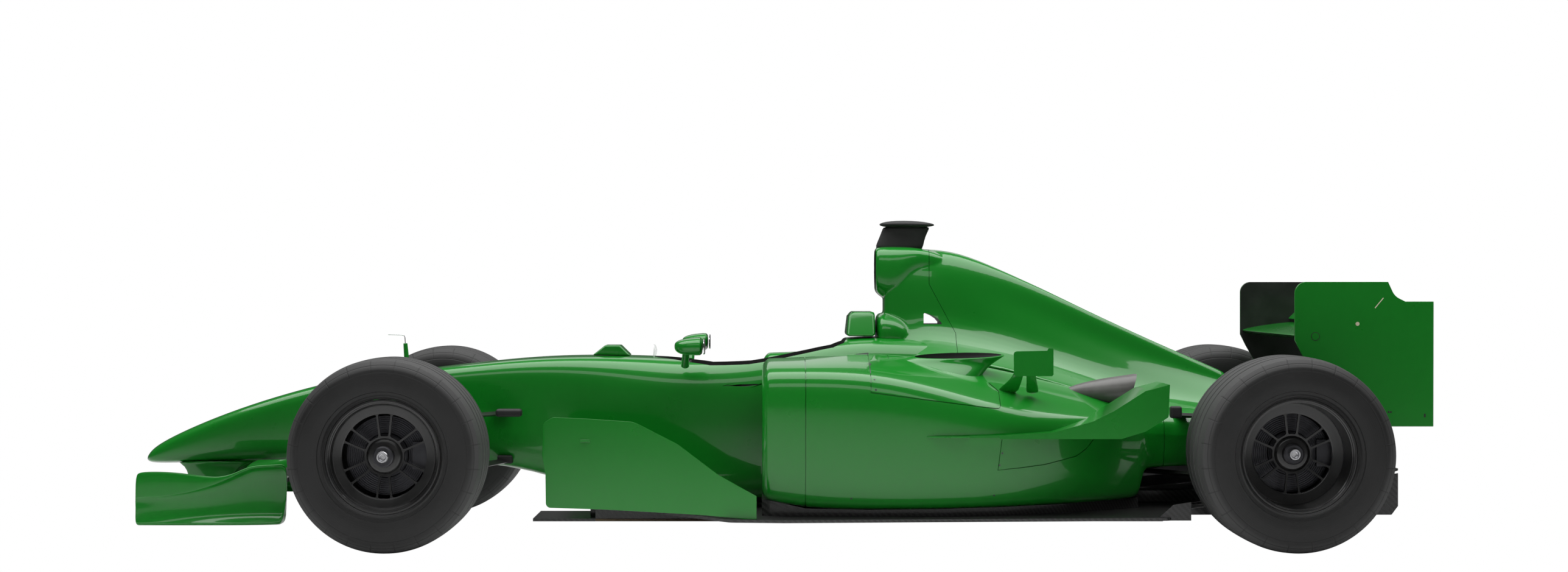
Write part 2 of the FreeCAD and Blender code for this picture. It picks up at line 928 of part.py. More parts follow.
def make_monocoque(tub):
    cavity = skin([tub_section(s, tub_wall) for s in cavity_shares])
    keep = box(tub_front_x, tub_front_x + tub_length, -tub_half_width, tub_half_width,
               tub_base_z + tub_wall, tub_base_z + tub_height * 2)
    tub = tub.cut(cavity.common(keep))
    near = [(cockpit_front_x + cockpit_length * a, -cockpit_half_width * b, cockpit_corner_radius)
            for a, b in cockpit_outline_shares]
    far = [(a, -b, r) for a, b, r in reversed(near)]
    mouth = prism(near + far, on_xy(tub_top_z - cockpit_cut_depth), Vector(0, 0, cockpit_cut_depth + overrun))
    tub = tub.cut(mouth)
    hole_start = Vector(rack_x(), -tub_half_width, rack_z())
    hole_end = Vector(rack_x(), tub_half_width, rack_z())
    tub = tub.cut(bar(hole_start, hole_end, track_rod_radius + rod_hole_gap, rod_sides))
    bracket_x = wheel_centre_x - column_length * bracket_place_share
    bracket = box(bracket_x - column_bracket_thickness, bracket_x,
                  -column_bracket_half_width, column_bracket_half_width,
                  column_height(bracket_x) - column_bracket_half_width,
                  tub_base_z + tub_height * bracket_top_share)
    column = rod(column_point(0), column_point(column_length), column_radius + running_gap)
    tub = tub.fuse(bracket).cut(column)
    return tub


def column_point(distance):
    """Point on the steering column's axis, at a distance forward of the steering wheel's centre."""
    tilt = math.radians(column_tilt)
    return Vector(wheel_centre_x - distance * math.cos(tilt), 0, wheel_centre_z - distance * math.sin(tilt))


def column_height(x):
    return wheel_centre_z - (wheel_centre_x - x) * math.tan(math.radians(column_tilt))


def rack_x():
    return front_axle_x - steering_arm_reach


def rack_z():
    top_of_arm = front_tyre_diameter / 2 - steering_arm_drop + steering_arm_thickness / 2
    return top_of_arm + running_gap + eye_height / 2


def nose_section(row):
    x = tub_front_x - nose_length * (1 - row[0]) - seat_gap * row[0]
    low = nose_base_z + nose_height * row[1]
    high = nose_base_z + nose_height * row[2]
    half = nose_half_width * row[3]
    corner = min((high - low) * nose_corner_share, tub_top_corner)
    points = [(-half, low, corner), (half, low, corner), (half, high, corner), (-half, high, corner)]
    return corner_ring(points, on_yz(x), corner_steps)


def make_nose_cone():
    cone = skin([nose_section(row) for row in nose_station_shares])
    pylons = []
    foot_z = front_wing_lead_z - front_wing_camber_drop / 2
    head_z = nose_base_z + pylon_sink
    for side in (-1, 1):
        foot = Vector(pylon_front_x + pylon_chord / 2, side * pylon_y, foot_z)
        head = Vector(pylon_front_x + pylon_chord / 2, side * pylon_y, head_z)
        pylons.append(blade(foot, head, pylon_chord, pylon_thickness))
    return fuse_all([cone] + pylons)


def aerofoil(lead, chord, angle, thickness_share):
    """Points of an inverted wing section in the XZ plane, its chord raised towards the tail by angle."""
    turn = math.radians(angle)
    thickness = chord * thickness_share
    spots = []
    for a, b in wing_upper_shares + wing_lower_shares:
        along = chord * a
        up = thickness * b
        spots.append(Vector(lead.x + along * math.cos(turn) - up * math.sin(turn), lead.y,
                            lead.z + along * math.sin(turn) + up * math.cos(turn)))
    return spots


def make_front_wing():
    main = []
    for across, drop in zip(front_span_shares, front_drop_shares):
        y = front_wing_half_span * across
        z = front_wing_lead_z - front_wing_camber_drop * drop
        main.append(aerofoil(Vector(front_wing_lead_x, y, z), front_wing_chord, front_wing_angle,
                             wing_thickness_share))
    rise = front_wing_chord * math.sin(math.radians(front_wing_angle))
    flap_x = front_wing_lead_x + front_wing_chord - wing_slot
    solids = [skin(main)]
    for side in (-1, 1):
        flap = []
        for across, drop in front_flap_shares:
            y = side * front_wing_half_span * across
            z = front_wing_lead_z - front_wing_camber_drop * drop + rise + wing_slot
            flap.append(aerofoil(Vector(flap_x, y, z), front_flap_chord, front_flap_angle,
                                 wing_thickness_share))
        solids.append(skin(flap))
    return solids


def endplate_wall():
    """Upright wall in plan, straight along the car and turned in ahead of the tyre."""
    bend_x = front_plate_x + front_plate_length - front_plate_bend_length
    outer = [Vector(front_plate_x, -front_plate_y, front_plate_z)]
    for k in range(front_plate_bend_steps + 1):
        part = k / front_plate_bend_steps
        outer.append(Vector(bend_x + front_plate_bend_length * part,
                            front_plate_turn_in * part ** 2 - front_plate_y, front_plate_z))
    inner = [spot + Vector(0, front_plate_thickness, 0) for spot in reversed(outer)]
    return flat_face(outer + inner).extrude(Vector(0, 0, front_plate_height))


def make_front_endplate():
    points = plate_points(front_plate_shares, front_plate_x, front_plate_length,
                          front_plate_z, front_plate_height)
    sheet = prism(points, on_xz(-overall_width / 2), Vector(0, overall_width / 2, 0))
    foot_length = front_plate_length - front_plate_bend_length
    foot = box(front_plate_x, front_plate_x + foot_length, -front_plate_y, -front_plate_y + footplate_width,
               front_plate_z, front_plate_z + footplate_thickness)
    return fuse_all([sheet.common(endplate_wall()), foot])


def bargeboard_wall():
    """Bowed upright sheet, in flat steps, that the bargeboard's outline is cut from."""
    start_x = bargeboard_x - overrun
    reach = bargeboard_length + overrun * 2
    outer = []
    for k in range(bargeboard_steps + 1):
        part = k / bargeboard_steps
        y = bargeboard_front_y + (bargeboard_rear_y - bargeboard_front_y) * part
        bow = bargeboard_bow * math.sin(math.pi * part)
        outer.append(Vector(start_x + reach * part, bow - y, bargeboard_z - overrun))
    inner = [spot + Vector(0, bargeboard_thickness, 0) for spot in reversed(outer)]
    return flat_face(outer + inner).extrude(Vector(0, 0, bargeboard_height + overrun * 2))


def make_bargeboard():
    points = plate_points(bargeboard_shares, bargeboard_x, bargeboard_length, bargeboard_z, bargeboard_height)
    sheet = prism(points, on_xz(-overall_width / 2), Vector(0, overall_width / 2, 0))
    board = sheet.common(bargeboard_wall())
    stay_x = bargeboard_x + bargeboard_length * stay_share
    stay_z = bargeboard_z + bargeboard_height * stay_rise_share
    board_y = -bargeboard_front_y - (bargeboard_rear_y - bargeboard_front_y) * stay_share
    stay = box(stay_x, stay_x + stay_height, board_y, -tub_half_width * stay_root_share,
               stay_z, stay_z + stay_thickness)
    return fuse_all([board, stay])


def floor_height(x):
    """Underside of the stepped floor, which rises towards the tail."""
    part = (x - floor_front_x) / (floor_rear_x - floor_front_x)
    return plank_z + plank_thickness + step_height + floor_rake * part - floor_rake * rake_share


def make_floor():
    length = floor_rear_x - floor_front_x
    near = [(floor_front_x + length * a, -floor_half_width * b, floor_half_width * r)
            for a, b, r in floor_outline_shares]
    near.append((floor_rear_x, -rear_body_half_width, floor_edge))
    far = [(a, -b, r) for a, b, r in reversed(near)]
    low = floor_height(floor_front_x)
    panel = prism(near + far, on_xy(low), Vector(0, 0, floor_thickness))
    rise = math.degrees(math.atan2(floor_rake, length))
    panel.rotate(Vector(floor_front_x, 0, low), Vector(0, 1, 0), -rise)
    keel = box(plank_x, plank_x + plank_length, -plank_half_width, plank_half_width,
               plank_z + plank_thickness, low + floor_thickness / 2)
    tray = box(plank_x - tray_length, plank_x - seat_gap, -tray_half_width, tray_half_width,
               plank_z, plank_z + tray_thickness)
    post = box(plank_x - tray_length * tray_post_share, plank_x + floor_thickness, -column_bracket_half_width,
               column_bracket_half_width, plank_z + tray_thickness, low + floor_thickness)
    pieces = [panel, keel, tray, post]
    for side in (-1, 1):
        low = floor_height(fence_x)
        outline = [(fence_x + fence_length * a, low + fence_height * b, 0) for a, b in fence_shares]
        pieces.append(prism(outline, on_xz(side * floor_half_width * fence_place_share),
                            Vector(0, -side * flip_thickness, 0)))
    trays = []
    for row in pod_section_shares:
        x = pod_front_x + pod_length * row[0]
        inner, outer, under = pod_foot(row)
        base = floor_height(x) + floor_thickness / 2
        edge = outer * pod_tray_share
        corners = [(inner, base), (edge, base), (edge, under), (inner, under)]
        trays.append([Vector(x, -a, b) for a, b in corners])
    pieces += both(skin(trays))
    return fuse_all(pieces)


def make_plank():
    return box(plank_x, plank_x + plank_length, -plank_half_width, plank_half_width,
               plank_z, plank_z + plank_thickness - seat_gap)


def make_diffuser():
    x0 = floor_rear_x + seat_gap
    z0 = floor_height(floor_rear_x)
    reach = diffuser_rear_x - x0
    roof = smooth_ring([Vector(x0, -diffuser_half_width, z0),
                        Vector(x0 + reach * diffuser_bend_share, -diffuser_half_width,
                               z0 + diffuser_rise * diffuser_bend_rise_share),
                        Vector(diffuser_rear_x, -diffuser_half_width, z0 + diffuser_rise)], 3)
    top = [spot + Vector(0, 0, diffuser_thickness) for spot in reversed(roof)]
    pieces = [flat_face(roof + top).extrude(Vector(0, diffuser_half_width * 2, 0))]
    gap = diffuser_half_width * 2 / (diffuser_strake_count + 1)
    for k in range(diffuser_strake_count + 2):
        y = diffuser_half_width - gap * k
        plate = side_plate(diffuser_plate_shares, x0, reach, diffuser_plate_z, diffuser_plate_height, y,
                           diffuser_thickness)
        if k == diffuser_strake_count + 1:
            plate.translate(Vector(0, -diffuser_thickness, 0))
        pieces.append(plate)
    return fuse_all(pieces)


def pod_foot(row):
    """Inner wall, outer reach and underside height of the sidepod at a station row."""
    inner = pod_inner_y - (pod_inner_y - gearbox_front_half) * row[1]
    return inner, pod_half_width * row[3], pod_base_z + pod_height * (row[2] - pod_low_share)


def pod_top(row):
    return pod_base_z + pod_height * row[4] * pod_top_share


def pod_section(row, inset):
    x = pod_front_x + pod_length * row[0]
    inner, outer, low = pod_foot(row)
    inner += inset
    outer -= inset
    low += inset
    top = pod_top(row) - inset
    shoulder = pod_base_z + pod_height * row[5] - inset
    waist = low + (shoulder - low) * pod_waist_share
    (ridge, blend), (edge, edge_rise), (side, side_rise), (tuck, foot) = pod_spot_shares
    spots = [(inner, top), (inner + (outer - inner) * ridge, top + (shoulder - top) * blend + inset / 2),
             (outer * edge, shoulder * edge_rise), (outer * side, shoulder * side_rise), (outer * tuck, waist),
             (outer * foot, low)]
    return smooth_ring([Vector(x, -a, b) for a, b in spots], 2) + [Vector(x, -inner, low)]


def pod_mouth():
    """Inlet duct of the left sidepod, open at the front."""
    rows = pod_section_shares
    first = [pod_mouth_share] + list(rows[0][1:])
    last = station(rows, (pod_inlet_depth + radiator_thickness) / pod_length)
    return skin([pod_section(row, pod_wall) for row in (first, rows[1], last)])


def make_radiator(mouth):
    start = pod_front_x + pod_inlet_depth
    slab = box(start, start + radiator_thickness + overrun, -pod_half_width, 0, 0, pod_base_z + pod_height * 2)
    return slab.common(mouth)


def cover_section(row):
    share, top_share, neck_share, crown_share = row
    x = cover_front_x + cover_length * share
    beside = station(pod_section_shares + pod_tail_shares, (x - pod_front_x) / pod_length)
    foot = pod_foot(beside)[0] - cover_side_gap
    low = pod_top(beside) - cover_sink
    top = cover_base_z + cover_height * top_share
    rise = top - low
    side = [(foot, low),
            (foot * cover_skirt_share, low + rise * cover_skirt_rise_share),
            (cover_half_width * neck_share, low + rise * cover_neck_rise_share),
            (cover_half_width * crown_share, low + rise * cover_crown_rise_share),
            (cover_half_width * crown_share * cover_cap_share, low + rise * cover_cap_rise_share)]
    spots = [(-a, b) for a, b in side] + [(0, top)] + list(reversed(side))
    return smooth_ring([Vector(x, a, b) for a, b in spots], 2)


def make_engine_cover():
    return skin([cover_section(row) for row in cover_station_shares])


def panel_line_block():
    """Space in front of the slanted joint between roll structure and engine cover."""
    foot, knee = [(hoop_x + hoop_length * a, hoop_z + hoop_height * b, 0) for a, b in joint_shares]
    top = hoop_z + hoop_height + overrun
    low = hoop_z - hoop_height
    points = [(hoop_x - overrun, low, 0), (foot[0], low, 0), foot, knee,
              (hoop_x + hoop_length * hoop_side_shares[7][0], top, 0), (hoop_x - overrun, top, 0)]
    return prism(points, on_xz(-tub_half_width), Vector(0, tub_half_width * 2, 0))


def window_block():
    """Opening through the neck of the roll structure."""
    points = plate_points(window_shares, window_x, window_length, window_z, window_height)
    return block(points, on_xz(-tub_half_width), Vector(0, tub_half_width * 2, 0))


def make_roll_structure():
    points = plate_points(hoop_side_shares, hoop_x, hoop_length, hoop_z, hoop_height)
    side = block(points, on_xz(-tub_half_width), Vector(0, tub_half_width * 2, 0))
    half = tub_half_width * hoop_width_share
    near = [(-half * a, hoop_z + hoop_height * b, hoop_height * r) for a, b, r in hoop_front_shares]
    far = [(-a, b, r) for a, b, r in reversed(near)]
    front = block(near + far, on_yz(hoop_x - overrun), Vector(hoop_length + overrun * 2, 0, 0))
    hoop = side.common(front)
    low = hoop_z + hoop_height * inlet_low_share + inlet_wall
    high = hoop_z + hoop_height - inlet_wall
    half = tub_half_width * inlet_width_share - inlet_wall
    outline = [(half * a, low + (high - low) * b, inlet_wall) for a, b in inlet_shares]
    inlet = block(outline, on_yz(hoop_x - overrun), Vector(inlet_depth + overrun, 0, 0))
    return hoop.cut(inlet).cut(window_block())


def make_headrest():
    z = tub_top_z + seat_gap
    points = plate_points(headrest_side_shares, headrest_x, headrest_length, z, headrest_height)
    side = prism(points, on_xz(-headrest_half_width), Vector(0, headrest_half_width * 2, 0))
    top_half = headrest_half_width * headrest_top_share
    corner = headrest_height * headrest_corner_share
    outline = [(-headrest_half_width, z, 0), (headrest_half_width, z, 0),
               (top_half, z + headrest_height, corner), (-top_half, z + headrest_height, corner)]
    front = prism(outline, on_yz(headrest_x - overrun), Vector(headrest_length + overrun * 2, 0, 0))
    return side.common(front)


def make_camera_pod():
    z = hoop_z + hoop_height + seat_gap
    foot = block([(camera_foot_x, z, 0), (camera_foot_x + camera_foot_length, z, 0),
                  (camera_foot_x + camera_foot_length + camera_foot_lean, z + camera_foot_height, 0),
                  (camera_foot_x + camera_foot_lean, z + camera_foot_height, 0)],
                 on_xz(-camera_foot_half_width), Vector(0, camera_foot_half_width * 2, 0))
    head_z = z + camera_foot_height
    points = plate_points(camera_head_shares, camera_head_x, camera_head_length, head_z, camera_head_height)
    head = block(points, on_xz(-camera_head_half_width), Vector(0, camera_head_half_width * 2, 0))
    return fuse_all([foot, head])


def make_chimney():
    points = plate_points(chimney_side_shares, chimney_x, chimney_length, chimney_z, chimney_height)
    y = -chimney_y - chimney_half_width
    body = prism(points, on_xz(y), Vector(0, chimney_half_width * 2, 0))
    hollow_points = plate_points(chimney_hollow_shares, chimney_x, chimney_length,
                                 chimney_z, chimney_height)
    hollow = prism(hollow_points, on_xz(y + chimney_wall),
                   Vector(0, (chimney_half_width - chimney_wall) * 2, 0))
    return body.cut(hollow)


def make_winglet():
    plate = side_plate(winglet_shares, winglet_x, winglet_length, winglet_z, winglet_height, winglet_y,
                       winglet_thickness)
    start = Vector(winglet_x + winglet_length / 2, -winglet_y + winglet_thickness / 2,
                   winglet_z + winglet_height * winglet_head_share)
    end = Vector(winglet_x + winglet_length * winglet_root_share, -winglet_root_y,
                 winglet_z - winglet_height * winglet_root_share)
    wing = blade(start, end, winglet_length * winglet_chord_share, winglet_thickness * 2)
    return fuse_all([plate, wing])


def make_exhaust():
    points = plate_points(exhaust_shares, exhaust_x, exhaust_length, exhaust_z, exhaust_height)
    y = -exhaust_y - exhaust_half_width
    body = block(points, on_xz(y), Vector(0, exhaust_half_width * 2, 0))
    centre = Vector(exhaust_x + exhaust_length * exhaust_mouth_share, -exhaust_y,
                    exhaust_z + exhaust_height * exhaust_mouth_rise_share)
    inward = Vector(-exhaust_length / 2, 0, -exhaust_height * exhaust_slope_share)
    start = centre - inward * exhaust_start_share
    return body.cut(bar(start, start + inward, exhaust_half_width / 2, rod_sides))


def make_flip_up():
    inner_y = pod_half_width * flip_root_share
    points = [(flip_x + flip_length * a, flip_z + flip_height * b) for a, b in flip_ramp_shares]
    top = [Vector(a, -flip_y, b) for a, b in points]
    under = [spot - Vector(0, 0, flip_thickness) for spot in reversed(top)]
    ramp = flat_face(top + under)
    ramp = ramp.extrude(Vector(0, flip_y - inner_y, 0))
    plate = side_plate(flip_plate_shares, flip_x, flip_length, flip_z, flip_height, flip_y + flip_thickness,
                       flip_thickness)
    return fuse_all([ramp, plate])


def make_rear_endplate():
    return side_plate(rear_plate_shares, rear_plate_x, rear_plate_length, rear_plate_z,
                      rear_plate_height, rear_plate_y, rear_plate_thickness)


def make_rear_wing():
    half = rear_plate_y - rear_plate_thickness - seat_gap
    span = Vector(0, half * 2, 0)
    turn = math.radians(rear_main_angle)
    main_x = rear_plate_x + rear_main_lead
    flap_x = main_x + rear_main_chord * math.cos(turn) - wing_slot
    flap_z = rear_main_z + rear_main_chord * math.sin(turn) + wing_slot
    beam_x = rear_plate_x + rear_plate_length * beam_lead_share
    planes = []
    for x, z, chord, angle in ((main_x, rear_main_z, rear_main_chord, rear_main_angle),
                               (flap_x, flap_z, rear_flap_chord, rear_flap_angle),
                               (beam_x, beam_z, beam_chord, beam_angle)):
        section = aerofoil(Vector(x, -half, z), chord, angle, rear_wing_thickness_share)
        planes.append(flat_face(section).extrude(span))
    return planes


def make_gearbox():
    x0 = gearbox_x
    x1 = x0 + gearbox_length
    x2 = x1 + crash_length

    def section(x, half, low, high):
        corner = half * gearbox_corner_share
        points = [(-half, low, corner), (half, low, corner), (half, high, corner), (-half, high, corner)]
        return corner_ring(points, on_yz(x), 1)

    case = skin([
        section(x0, gearbox_front_half, gearbox_base_z, gearbox_base_z + gearbox_front_height),
        section(x1, gearbox_rear_half, gearbox_rear_base_z, gearbox_rear_base_z + gearbox_rear_height)])
    tail = skin([
        section(x1 - overrun, crash_half_width * crash_root_share, gearbox_rear_base_z + overrun / 2,
                crash_z + crash_height / 2),
        section(x2, crash_half_width, crash_z, crash_z + crash_height)])
    outputs = turned_bar(output_radius, output_y - running_gap, running_gap - output_y,
                         rear_axle_x, rear_tyre_diameter / 2, hub_sides)
    pylon = box(rear_plate_x + rear_plate_length * beam_post_share,
                rear_plate_x + rear_plate_length * beam_post_end_share,
                -crash_half_width / 3, crash_half_width / 3, crash_z + crash_height / 2, beam_z)
    return fuse_all([case, tail, pylon, outputs])


def make_rain_light():
    x = gearbox_x + gearbox_length + crash_length + seat_gap
    z = crash_z + crash_height / 2
    return box(x, x + rain_light_depth, -rain_light_half_width, rain_light_half_width,
               z - rain_light_height / 2, z + rain_light_height / 2)


def make_engine():
    low = floor_height(engine_x + engine_length) + floor_thickness + seat_gap
    shoulder = low + engine_height * engine_shoulder_share
    top_half = engine_half_width * engine_top_share
    top = low + engine_height
    points = [(-engine_half_width, low, 0), (engine_half_width, low, 0), (engine_half_width, shoulder, 0),
              (top_half, top, 0), (-top_half, top, 0), (-engine_half_width, shoulder, 0)]
    return prism(points, on_yz(engine_x), Vector(engine_length, 0, 0))


def wheel_sizes(front):
    diameter = front_tyre_diameter if front else rear_tyre_diameter
    width = front_tyre_width if front else rear_tyre_width
    recess = front_face_recess if front else rear_face_recess
    window = front_window_radius if front else rear_window_radius
    x = front_axle_x if front else rear_axle_x
    return diameter / 2, width, recess, window, x


def make_tyre(front):
    radius, width, recess, window, x = wheel_sizes(front)
    outer = overall_width / 2
    inner = outer - width
    wall = (bead_radius + radius) / 2
    corner = radius - tyre_shoulder_width * shoulder_drop_share
    edge = radius - tyre_crown_drop / 3
    points = [
        (inner + tyre_side_bulge, tyre_inner_radius),
        (inner, wall),
        (inner + tyre_side_bulge, corner),
        (inner + tyre_shoulder_width, edge),
        ((inner + outer) / 2, radius),
        (outer - tyre_shoulder_width, edge),
        (outer - tyre_side_bulge, corner),
        (outer, wall),
        (outer - tyre_side_bulge, tyre_inner_radius)]
    return turned(points, x, radius, wheel_sides)


def window_prism(x, z, y, angle, half_angle, inner, outer):
    spots = []
    for r, side in ((inner, -1), (outer, -1), (outer, 1), (inner, 1)):
        turn = math.radians(angle + side * half_angle)
        spots.append(Vector(x + r * math.cos(turn), y, z + r * math.sin(turn)))
    return flat_face(spots).extrude(Vector(0, spoke_disc_thickness * 3, 0))


def make_rim(front):
    radius, width, recess, window, x = wheel_sizes(front)
    outer = overall_width / 2 - rim_side_inset
    inner = overall_width / 2 - width + rim_side_inset
    face = overall_width / 2 - recess
    bore = rim_flange_radius - rim_wall
    points = [(inner, bore), (inner, rim_flange_radius), (outer, rim_flange_radius), (outer, bore)]
    ring_part = turned(points, x, radius, wheel_sides)
    disc = turned_bar(bore + rim_wall / 2, face, face - spoke_disc_thickness, x, radius, wheel_sides)
    step = 360.0 / spoke_pair_count
    for k in range(spoke_pair_count):
        centre = window_centre_angle + step * k
        start_y = -face - spoke_disc_thickness
        pair = ((centre, narrow_window_half_angle), (centre + step / 2, wide_window_half_angle))
        for angle, half_angle in pair:
            disc = disc.cut(window_prism(x, radius, start_y, angle, half_angle, window_inner_radius, window))
    return fuse_all([ring_part, disc])


def make_hub(front):
    """Nut, driving end, brake disc and axle of one wheel, which turn as one, and the bore they need."""
    radius, width, recess, window, x = wheel_sizes(front)
    face = overall_width / 2 - recess
    back = face - spoke_disc_thickness - seat_gap
    inner_end = kingpin_y - knuckle_hub_length / 2 if front else output_y
    end_x = Vector(x, -face - nut_length, radius)
    nut = turned_bar(nut_radius, face + nut_length, face + seat_gap, x, radius, hub_sides)
    pin = Part.makeCylinder(hub_end_radius, hub_end_length, end_x, Vector(0, -1, 0))
    stub = turned_bar(spindle_radius, back, back - brake_disc_inset, x, radius, hub_sides)
    disc_y = back - brake_disc_inset
    disc = turned_bar(brake_disc_radius, disc_y, disc_y - brake_disc_thickness, x, radius, disc_sides)
    shaft = turned_bar(half_shaft_radius, disc_y, inner_end, x, radius, hub_sides)
    through = turned_bar(hub_end_radius, face + overrun, back - overrun, x, radius, hub_sides)
    return fuse_all([nut, pin, stub, disc, shaft, through]), through


def make_caliper(front, carrier_y):
    """Brake caliper behind the axle, straddling the disc, with its arm from the carrier's outer face."""
    radius, width, recess, window, x = wheel_sizes(front)
    disc_y = overall_width / 2 - recess - spoke_disc_thickness - seat_gap - brake_disc_inset
    inner_y = disc_y - brake_disc_thickness - caliper_side
    block_of_metal = box(x + caliper_inner_reach, x + caliper_reach, -disc_y - caliper_side, -inner_y,
                         radius - caliper_half_height, radius + caliper_half_height)
    slot = turned_bar(brake_disc_radius + caliper_gap, disc_y + caliper_gap,
                      disc_y - brake_disc_thickness - caliper_gap, x, radius, disc_sides)
    low = radius - caliper_arm_half_height
    high = radius + caliper_arm_half_height
    near_x = x + caliper_inner_reach
    far_x = near_x + caliper_arm_thickness
    arm = box(x, far_x, -carrier_y, caliper_arm_thickness - carrier_y, low, high)
    link = box(near_x, far_x, -inner_y, caliper_arm_thickness - carrier_y, low, high)
    return fuse_all([block_of_metal.cut(slot), arm, link])


def kingpin_ends():
    low = front_tyre_diameter / 2 - kingpin_height_spread / 2
    high = front_tyre_diameter / 2 + kingpin_height_spread / 2
    return low, high


def make_knuckle():
    low, high = kingpin_ends()
    radius = front_tyre_diameter / 2
    foot = low + kingpin_boss_height / 2 + running_gap
    head = high - kingpin_boss_height / 2 - running_gap
    body = box(front_axle_x - knuckle_half_length, front_axle_x + knuckle_half_length,
               -kingpin_y - knuckle_plate_width / 2, -kingpin_y + knuckle_plate_width / 2, foot, head)
    half = knuckle_hub_length / 2
    hub = turned_bar(knuckle_hub_radius, kingpin_y + half, kingpin_y - half, front_axle_x, radius, hub_sides)
    caliper = make_caliper(True, kingpin_y + knuckle_plate_width / 2)
    arm_z = radius - steering_arm_drop
    arm = box(rack_x() - steering_arm_half_width, front_axle_x,
              -kingpin_y - steering_arm_half_width, -kingpin_y + steering_arm_half_width,
              arm_z - steering_arm_thickness / 2, arm_z + steering_arm_thickness / 2)
    bore = turned_bar(half_shaft_radius + axle_gap, overall_width / 2, 0, front_axle_x, radius, hub_sides)
    pins = [rod(Vector(front_axle_x, -kingpin_y, low - kingpin_boss_height / 2),
                Vector(front_axle_x, -kingpin_y, foot + running_gap), kingpin_pin_radius),
            rod(Vector(front_axle_x, -kingpin_y, head - running_gap),
                Vector(front_axle_x, -kingpin_y, high + kingpin_boss_height / 2), kingpin_pin_radius)]
    return fuse_all([body, hub, arm, caliper] + pins).cut(bore)


def post(centre, radius, height, sides):
    """Upright many-sided boss about a centre."""
    ring = []
    for k in range(sides):
        turn = 2 * math.pi * k / sides
        ring.append(centre + Vector(radius * math.cos(turn), radius * math.sin(turn), -height / 2))
    return flat_face(ring).extrude(Vector(0, 0, height))


def wishbone(outer, front_end, rear_end, boss_radius):
    legs = [blade(outer, front_end, arm_chord, arm_thickness), blade(outer, rear_end, arm_chord, arm_thickness)]
    boss = post(outer, boss_radius, kingpin_boss_height, boss_sides)
    drop = Vector(0, 0, web_thickness / 2)
    front_corner = outer + (front_end - outer) * web_share
    rear_corner = outer + (rear_end - outer) * web_share
    web = flat_face([outer - drop, front_corner - drop, rear_corner - drop]).extrude(drop * 2)
    return fuse_all([boss, web] + legs)


def kingpin_bore(outer):
    reach = (kingpin_pin_radius + running_gap) / math.cos(math.pi / boss_sides)
    return post(outer, reach, kingpin_boss_height * 2, boss_sides)


def make_front_wishbones():
    low, high = kingpin_ends()
    solids = []
    for height, pickup in ((high, front_upper_pickup_z), (low, front_lower_pickup_z)):
        outer = Vector(front_axle_x, -kingpin_y, height)
        share = (front_axle_x + front_pickup_spread - tub_front_x) / tub_length
        rear_y = tub_half_width * station(tub_station_shares, share)[3]
        share = (front_axle_x - front_pickup_spread * front_leg_share - tub_front_x) / tub_length
        front_y = tub_half_width * station(tub_station_shares, share)[3]
        front_end = Vector(front_axle_x - front_pickup_spread * front_leg_share, pickup_depth - front_y, pickup)
        rear_end = Vector(front_axle_x + front_pickup_spread, pickup_depth - rear_y, pickup)
        arm = wishbone(outer, front_end, rear_end, kingpin_boss_radius * front_boss_share)
        solids += both(arm.cut(kingpin_bore(outer)))
    return solids


def make_pushrods():
    low, high = kingpin_ends()
    lift = (kingpin_y - pushrod_outer_y) / (kingpin_y - front_pickup_y) * (front_lower_pickup_z - low)
    outer = Vector(front_axle_x, -pushrod_outer_y, low + lift)
    inner = Vector(front_axle_x, -pushrod_top_y, pushrod_top_z)
    front = blade(outer, inner, pushrod_chord, arm_thickness)
    rear_outer = Vector(rear_axle_x - rear_upright_length * rear_push_foot_share,
                        -rear_upright_y + rear_upright_width,
                        rear_tyre_diameter / 2 - rear_upright_height * rear_push_drop_share)
    rear_inner = Vector(rear_axle_x - rear_upright_length * rear_push_head_share, -gearbox_rear_half,
                        gearbox_base_z + gearbox_rear_height)
    rear = blade(rear_outer, rear_inner, pushrod_chord, arm_thickness)
    return both(front) + both(rear)


def make_rear_wishbones():
    radius = rear_tyre_diameter / 2
    solids = []
    for side, pickup in ((1, rear_upper_pickup_z), (-1, rear_lower_pickup_z)):
        outer = Vector(rear_axle_x, -rear_upright_y + rear_upright_width / 2,
                       radius + side * rear_upright_height * rear_arm_height_share)
        front_end = Vector(rear_axle_x - rear_front_leg_reach, -rear_pickup_y, pickup)
        rear_end = Vector(rear_axle_x + rear_back_leg_reach, -rear_pickup_y * rear_back_pickup_share, pickup)
        solids += both(wishbone(outer, front_end, rear_end, kingpin_boss_radius * rear_boss_share))
    return solids


def make_rear_upright():
    radius = rear_tyre_diameter / 2
    body = box(rear_axle_x - rear_upright_length / 2, rear_axle_x + rear_upright_length / 2,
               -rear_upright_y - rear_upright_width / 2, -rear_upright_y + rear_upright_width / 2,
               radius - rear_upright_height / 2, radius + rear_upright_height / 2)
    bore = turned_bar(half_shaft_radius + axle_gap, overall_width / 2, 0, rear_axle_x, radius, hub_sides)
    caliper = make_caliper(False, rear_upright_y + rear_upright_width / 2)
    return fuse_all([body, caliper]).cut(bore)


def make_rack():
    z = rack_z()
    half = kingpin_y
    track_rod = bar(Vector(rack_x(), -half, z), Vector(rack_x(), half, z), track_rod_radius, rod_sides)
    eyes = []
    for side in (-1, 1):
        foot = Vector(rack_x(), side * kingpin_y, z - eye_height / 2)
        eyes.append(bar(foot, foot + Vector(0, 0, eye_height), steering_arm_half_width, boss_sides))
    return fuse_all([track_rod] + eyes)


